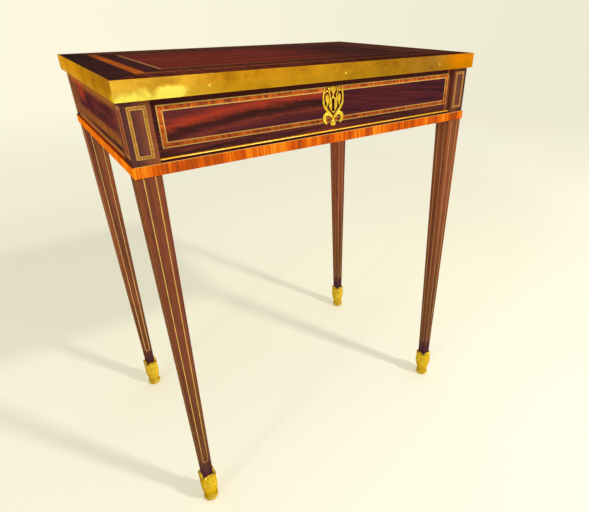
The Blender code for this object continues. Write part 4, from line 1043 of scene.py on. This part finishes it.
class MakeRim(bpy.types.Operator):
    """Makes the brass rim of the top, four mitred strips with eased edges"""
    bl_idname = "side_table.make_rim"
    bl_label = "Brass rim"

    def execute(self, context):
        sizes = context.scene.table_metalwork
        # the strips lie a pin's height, less 0.05 mm, inside the node's box, so that the pins fill it
        inside = sizes.pin_height - 0.00005
        half, thick = [reach - inside for reach in RIM_OUT], RIM_THICK - inside
        for k, side in enumerate(FACES):
            # rubbed is 0 at the strip's ends, where a highlight is painted, and 1 on its top edge
            strip, rubbed = mitred_strip(side, half, thick, RIM_LOW[2], RIM_HIGH[2], sizes.rim_edge,
                                         sizes.rim_wander, seed=1.9 * k)
            piece(f"rim_{side}", [strip], "brass_rim_rubbed", "carcass", [f"brass_rim_{side}"],
                  hollow=rubbed)
        return {"FINISHED"}


class MakeRimPins(bpy.types.Operator):
    """Makes the pin heads that hold the brass rim"""
    bl_idname = "side_table.make_rim_pins"
    bl_label = "Rim pins"

    def execute(self, context):
        sizes = context.scene.table_metalwork
        above_edge, places = 0.0097, (-0.186, 0.017, 0.2105)
        for side, way in (("front", 1), ("back", -1)):
            heads = [dome((way * place, RIM_LOW[2] + above_edge, RIM_OUT[1] - sizes.pin_height) @ FACES[side],
                          side, sizes.pin_radius, sizes.pin_height) for place in places]
            piece(f"rim_pins_{side}", heads, "brass_pin_heads", "carcass", sharp=60)
        return {"FINISHED"}


class MakeBaseBand(bpy.types.Operator):
    """Makes the orange band round the foot of the frieze, four mitred strips"""
    bl_idname = "side_table.make_base_band"
    bl_label = "Base band"

    def execute(self, context):
        sizes = context.scene.table_inlay
        for side in FACES:
            strip, _ = mitred_strip(side, BAND_OUT, BAND_THICK, BAND_LOW[2], BAND_HIGH[2], sizes.band_edge,
                                    rows=40)
            piece(f"band_{side}", [strip], "satinwood_cross_cut_band", "carcass",
                  [f"base_band_{side}"])
        return {"FINISHED"}


class LayVeneers(bpy.types.Operator):
    """Lays the drawer's strings and crossbanding and the aprons' bandings, close-fitted rings of veneer"""
    bl_idname = "side_table.lay_veneers"
    bl_label = "Frieze bandings"

    def execute(self, context):
        line = context.scene.table_inlay.frame_string
        low, high = low_high("drawer_outer_string")
        outer = np.array((low[0], high[0], low[2], high[2])) + np.array((-1, 1, -1, 1)) * 0.0002
        ring_width, apron_ring_width = 0.0072, 0.0222
        for name, finish, slot, from_edge, width, proud in (
                ("outer_string", "boxwood_stringing", "boxwood", 0.0, line, 0.00005),
                ("crossband", "tulipwood_drawer_crossband", "tulipwood", line, ring_width - 2 * line,
                 0.00003),
                ("inner_string", "boxwood_stringing", "boxwood", ring_width - line, line, 0.00005)):
            ring = veneer_ring("front", outer + np.array((1, -1, 1, -1)) * from_edge, width, -FRONT_FACE,
                               proud)
            piece(f"drawer_{name}_laid", [ring], finish, "drawer", [f"drawer_{name}"])
        for side in ("left", "right", "back"):
            low, high = low_high(f"apron_{side}_string")
            across = 0 if side == "back" else 1
            out = HALF_Y if side == "back" else HALF_X
            outer = (low[across], high[across], BAND_HIGH[2] + 0.0002, high[2])
            ring = veneer_ring(side, outer, apron_ring_width + low[2] - outer[2], out, 0.00005)
            piece(f"apron_{side}_banding", [ring], f"apron_{side}_banding", "carcass",
                  [f"apron_{side}_string", f"apron_{side}_crossband"])
        return {"FINISHED"}


class MakeLegStrings(bpy.types.Operator):
    """Lays the boxwood strings in the sixteen faces of the legs"""
    bl_idname = "side_table.make_leg_strings"
    bl_label = "Leg strings"

    def execute(self, context):
        sizes = context.scene.table_inlay
        for corner, side in CORNERS.items():
            shells = [leg_string(face, *side, sizes.string_width, sizes.string_depth) for face in FACES]
            piece(f"leg_strings_{corner}", shells, "boxwood_stringing", "carcass", sharp=50)
        return {"FINISHED"}


class MakeShoes(bpy.types.Operator):
    """Makes the four chased gilt bronze shoes"""
    bl_idname = "side_table.make_shoes"
    bl_label = "Gilt bronze shoes"

    def execute(self, context):
        relief = context.scene.table_metalwork.leaf_relief
        for corner, side in CORNERS.items():
            shell, hollow = shoe(*side, relief)
            piece(f"shoe_{corner}", [shell], "gilt_bronze_chased", "carcass",
                  [f"sabot_{corner}"], 50, hollow)
        return {"FINISHED"}


class MakeEscutcheon(bpy.types.Operator):
    """Makes the pierced leaf ornament round the keyhole"""
    bl_idname = "side_table.make_escutcheon"
    bl_label = "Escutcheon"

    def execute(self, context):
        depth = context.scene.table_metalwork.ornament_depth
        plate, hollow = shield(depth)
        shells, hollows = [plate], [hollow]
        parts = [(CROWN, 1), (STUB, 1)]
        parts += [(stem, side) for stem in (OUTER_STEM, OVAL_ARC, BUD, SCROLL, PETAL, SIDE_PETAL)
                  for side in (-1, 1)]
        for k, (shares, side) in enumerate(parts):
            rings, deep = ornament_stem(shares, side, depth * (1 + (k + 1) / len(parts)))
            shells.append(skin(rings))
            hollows.append(np.concatenate((deep.ravel(), (0.7, 0.7))))
        piece("escutcheon_chased", shells, "gilt_bronze_chased", "drawer", ["escutcheon"], 60,
              np.concatenate(hollows))
        return {"FINISHED"}


class MakeBead(bpy.types.Operator):
    """Makes the half round brass bead at the foot of the drawer front"""
    bl_idname = "side_table.make_bead"
    bl_label = "Drawer bead"

    def execute(self, context):
        low, high = low_high("drawer_bead")
        # half round: out = depth sin t, up = middle - half the height cos t, carried along X
        turn = np.linspace(0, math.pi, 19)[None, :]
        place = np.linspace(low[0], high[0], 60)[:, None]
        sag = 0.00006 * np.sin(place * 41.0) + 0.00004 * np.sin(place * 113.0) - 0.0001
        out = np.maximum(high[1] - (high[1] - low[1] + sag) * np.sin(turn), low[1])
        up = (low[2] + high[2]) / 2 - (high[2] - low[2]) / 2 * np.cos(turn)
        points = np.stack(np.broadcast_arrays(place, out, up), -1)
        piece("bead_drawer", [skin(points)], "brass_bead_polished", "drawer", ["drawer_bead"], 60)
        return {"FINISHED"}


class MakeLockScrews(bpy.types.Operator):
    """Makes the four slotted screws of the lock, on the back of the drawer front"""
    bl_idname = "side_table.make_lock_screws"
    bl_label = "Lock screws"

    def execute(self, context):
        low, high = LOCK_LOW, LOCK_HIGH
        aside, radius, height, slot = 0.0185, 0.0022, 0.0007, 0.0005
        heads = []
        for k, (side, up) in enumerate(((-1, 0.16), (1, 0.16), (-1, 0.8), (1, 0.8))):
            centre = (LOCK_MIDDLE + side * aside, high[1] + 0.0001, low[2] + up * (high[2] - low[2]))
            # every slot has been left at an angle of its own
            heads.append(dome(centre, "back", radius, height, slot, 0.5 + 1.3 * k, 72, 18))
        piece("lock_screws", heads, "steel_filed", "drawer", sharp=50)
        return {"FINISHED"}


def seen_share(add):
    """1 for what the camera or a reflection sees, 0 for light that falls on the object."""
    path = add("LightPath", out=None)
    seen = add("max", path["Is Camera Ray"], path["Is Glossy Ray"])
    return add("max", seen, path["Is Transmission Ray"])


def backdrop_glow(add, way, colour):
    """The backdrop, lightest on the left and a little darker towards the right."""
    right = add("dot", add("VectorMath NORMALIZE", way), TO_THE_RIGHT)
    return fade(add, [min(1.0, v * 1.06) for v in colour], [v * 0.92 for v in colour], right, -0.6, 0.55)


class BuildStudio(bpy.types.Operator):
    """Makes the pale floor, the soft light and the camera at the photograph's viewpoint"""
    bl_idname = "side_table.build_studio"
    bl_label = "Studio"

    def execute(self, context):
        scene, settings = context.scene, context.scene.table_studio
        self.make_floor(settings)
        self.make_world(scene, settings)
        self.make_lamp("key_lamp", (1.15, -2.17, 2.5), settings.key_power, 0.21)
        self.make_lamp("side_lamp", (-2.4, -1.05, 1.8), settings.side_power, 0.3)
        camera = bpy.data.cameras.new("photograph_camera")
        camera.sensor_fit, camera.sensor_width, camera.lens = "HORIZONTAL", 36.0, settings.lens
        camera.shift_x, camera.shift_y = -0.0665, -0.0026
        camera.clip_start, camera.clip_end = 0.02, 200.0
        scene.camera = place_object("photograph_camera", camera)
        # columns: the camera's right, up and back directions and its place
        scene.camera.matrix_world = Matrix((
            (0.81165, 0.28343, -0.51077, -0.39066), (-0.58414, 0.39386, -0.70968, -0.73147),
            (0.00003, 0.87438, 0.48524, 0.80518), (0.0, 0.0, 0.0, 1.0)))
        scene.view_settings.view_transform = "Standard"
        return {"FINISHED"}

    def make_floor(self, settings):
        """A disc of 14 m radius, rings of points ever wider apart: radius = 14 s^2."""
        rows, columns = 24, 96
        share = np.linspace(0.02, 1, rows)[:, None] ** 2 * 14.0
        turn = np.linspace(0, math.tau, columns, endpoint=False)[None, :]
        points = np.stack(np.broadcast_arrays(share * np.cos(turn), share * np.sin(turn), -0.0002), -1)
        mesh = bpy.data.meshes.new("studio_floor")
        mesh.from_pydata(points.reshape(-1, 3).tolist(), [],
                         [face[::-1] for face in quads(rows, columns)] + [list(range(columns))])
        add, place = start("studio_paper")
        # matt paper, barely cloudy; a painted glow that only the camera and reflections see stands for the
        # lamps'
        # spill: it brightens the paper towards the camera and the right, close round the table and further
        # out to the sides; far off it turns into the backdrop's own colour
        tint = fade(add, settings.floor, "#F8F5E0", add("TexNoise", place, 0.5, 1.0), 0.35, 0.65)
        paper = add("BsdfPrincipled", {"Base Color": tint, "Roughness": 0.95, "Specular IOR Level": 0.0})
        away = add("length", place)
        spill = add("MapRange", add("dot", place, (0.55, -0.83, 0.0)), -1.6, 0.9, 0.065, 0.115)
        spill = add("+", spill, add("MapRange", away, 0.25, 1.2, 0.03, 0.0))
        aside = add("abs", add("dot", place, TO_THE_RIGHT))
        aside = add("MapRange", aside, 0.6, 1.3, 0.0, 0.06)
        spill = add("*+", add("MapRange", away, 1.35, 1.9), aside, spill)
        lift = add("Emission", {"Color": settings.backdrop, "Strength": add("*", spill, seen_share(add))})
        glow = add("Emission", {"Color": backdrop_glow(add, place, settings.backdrop), "Strength": 1.0})
        mixed = add("MixShader", add("MapRange", away, 1.2, 4.5), add("AddShader", paper, lift), glow)
        add("OutputMaterial", mixed)
        mesh.materials.append(bpy.data.materials["studio_paper"])
        item = place_object("studio_floor", mesh)

    def make_world(self, scene, settings):
        """Even white light for the object; the camera and reflections see the pale backdrop instead."""
        scene.world = bpy.data.worlds.new("studio_world")
        scene.world.use_nodes = True
        scene.world.node_tree.nodes.clear()
        add = partial(add_node, scene.world.node_tree)
        light = add("Background", (1.0, 0.99, 0.97), settings.ambient)
        pale = add("Background", backdrop_glow(add, add("TexCoord"), settings.backdrop), 1.0)
        add("OutputWorld", add("MixShader", seen_share(add), light, pale))

    def make_lamp(self, name, place, power, size):
        """A square soft box aimed at the table's middle, unseen by the camera."""
        lamp = bpy.data.lights.new(name, "AREA")
        lamp.energy, lamp.size = power, size
        item = place_object(name, lamp)
        item.location = place
        item.rotation_euler = (Vector((0, 0, 0.4)) - item.location).to_track_quat("-Z", "Y").to_euler()
        item.visible_camera = False


OPERATORS = (DressWoods, DressMetals, MakeRim, MakeRimPins, MakeBaseBand, LayVeneers, MakeLegStrings,
             MakeShoes, MakeEscutcheon, MakeBead, MakeLockScrews, BuildStudio)
GROUPS = {"table_colours": TableColours, "table_metalwork": MetalworkSizes, "table_inlay": InlaySizes,
          "table_studio": StudioSettings}


class SideTablePanel(bpy.types.Panel):
    """Lists the table's settings and its making steps"""
    bl_idname = "VIEW3D_PT_side_table"
    bl_label = "Side table"
    bl_space_type = "VIEW_3D"
    bl_region_type = "UI"
    bl_category = "Side table"

    def draw(self, context):
        for name, group in GROUPS.items():
            box = self.layout.box()
            for key in group.__annotations__:
                box.prop(getattr(context.scene, name), key)
        for operator in OPERATORS:
            self.layout.operator(operator.bl_idname)


def register():
    for kind in (*GROUPS.values(), *OPERATORS, SideTablePanel):
        bpy.utils.register_class(kind)
    for name, group in GROUPS.items():
        setattr(bpy.types.Scene, name, PointerProperty(type=group))


def unregister():
    for name in GROUPS:
        delattr(bpy.types.Scene, name)
    for kind in reversed((*GROUPS.values(), *OPERATORS, SideTablePanel)):
        bpy.utils.unregister_class(kind)


def main():
    register()
    for operator in OPERATORS:
        getattr(bpy.ops.side_table, operator.bl_idname.split(".")[1])()
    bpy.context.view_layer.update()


if __name__ == "__main__":
    main()
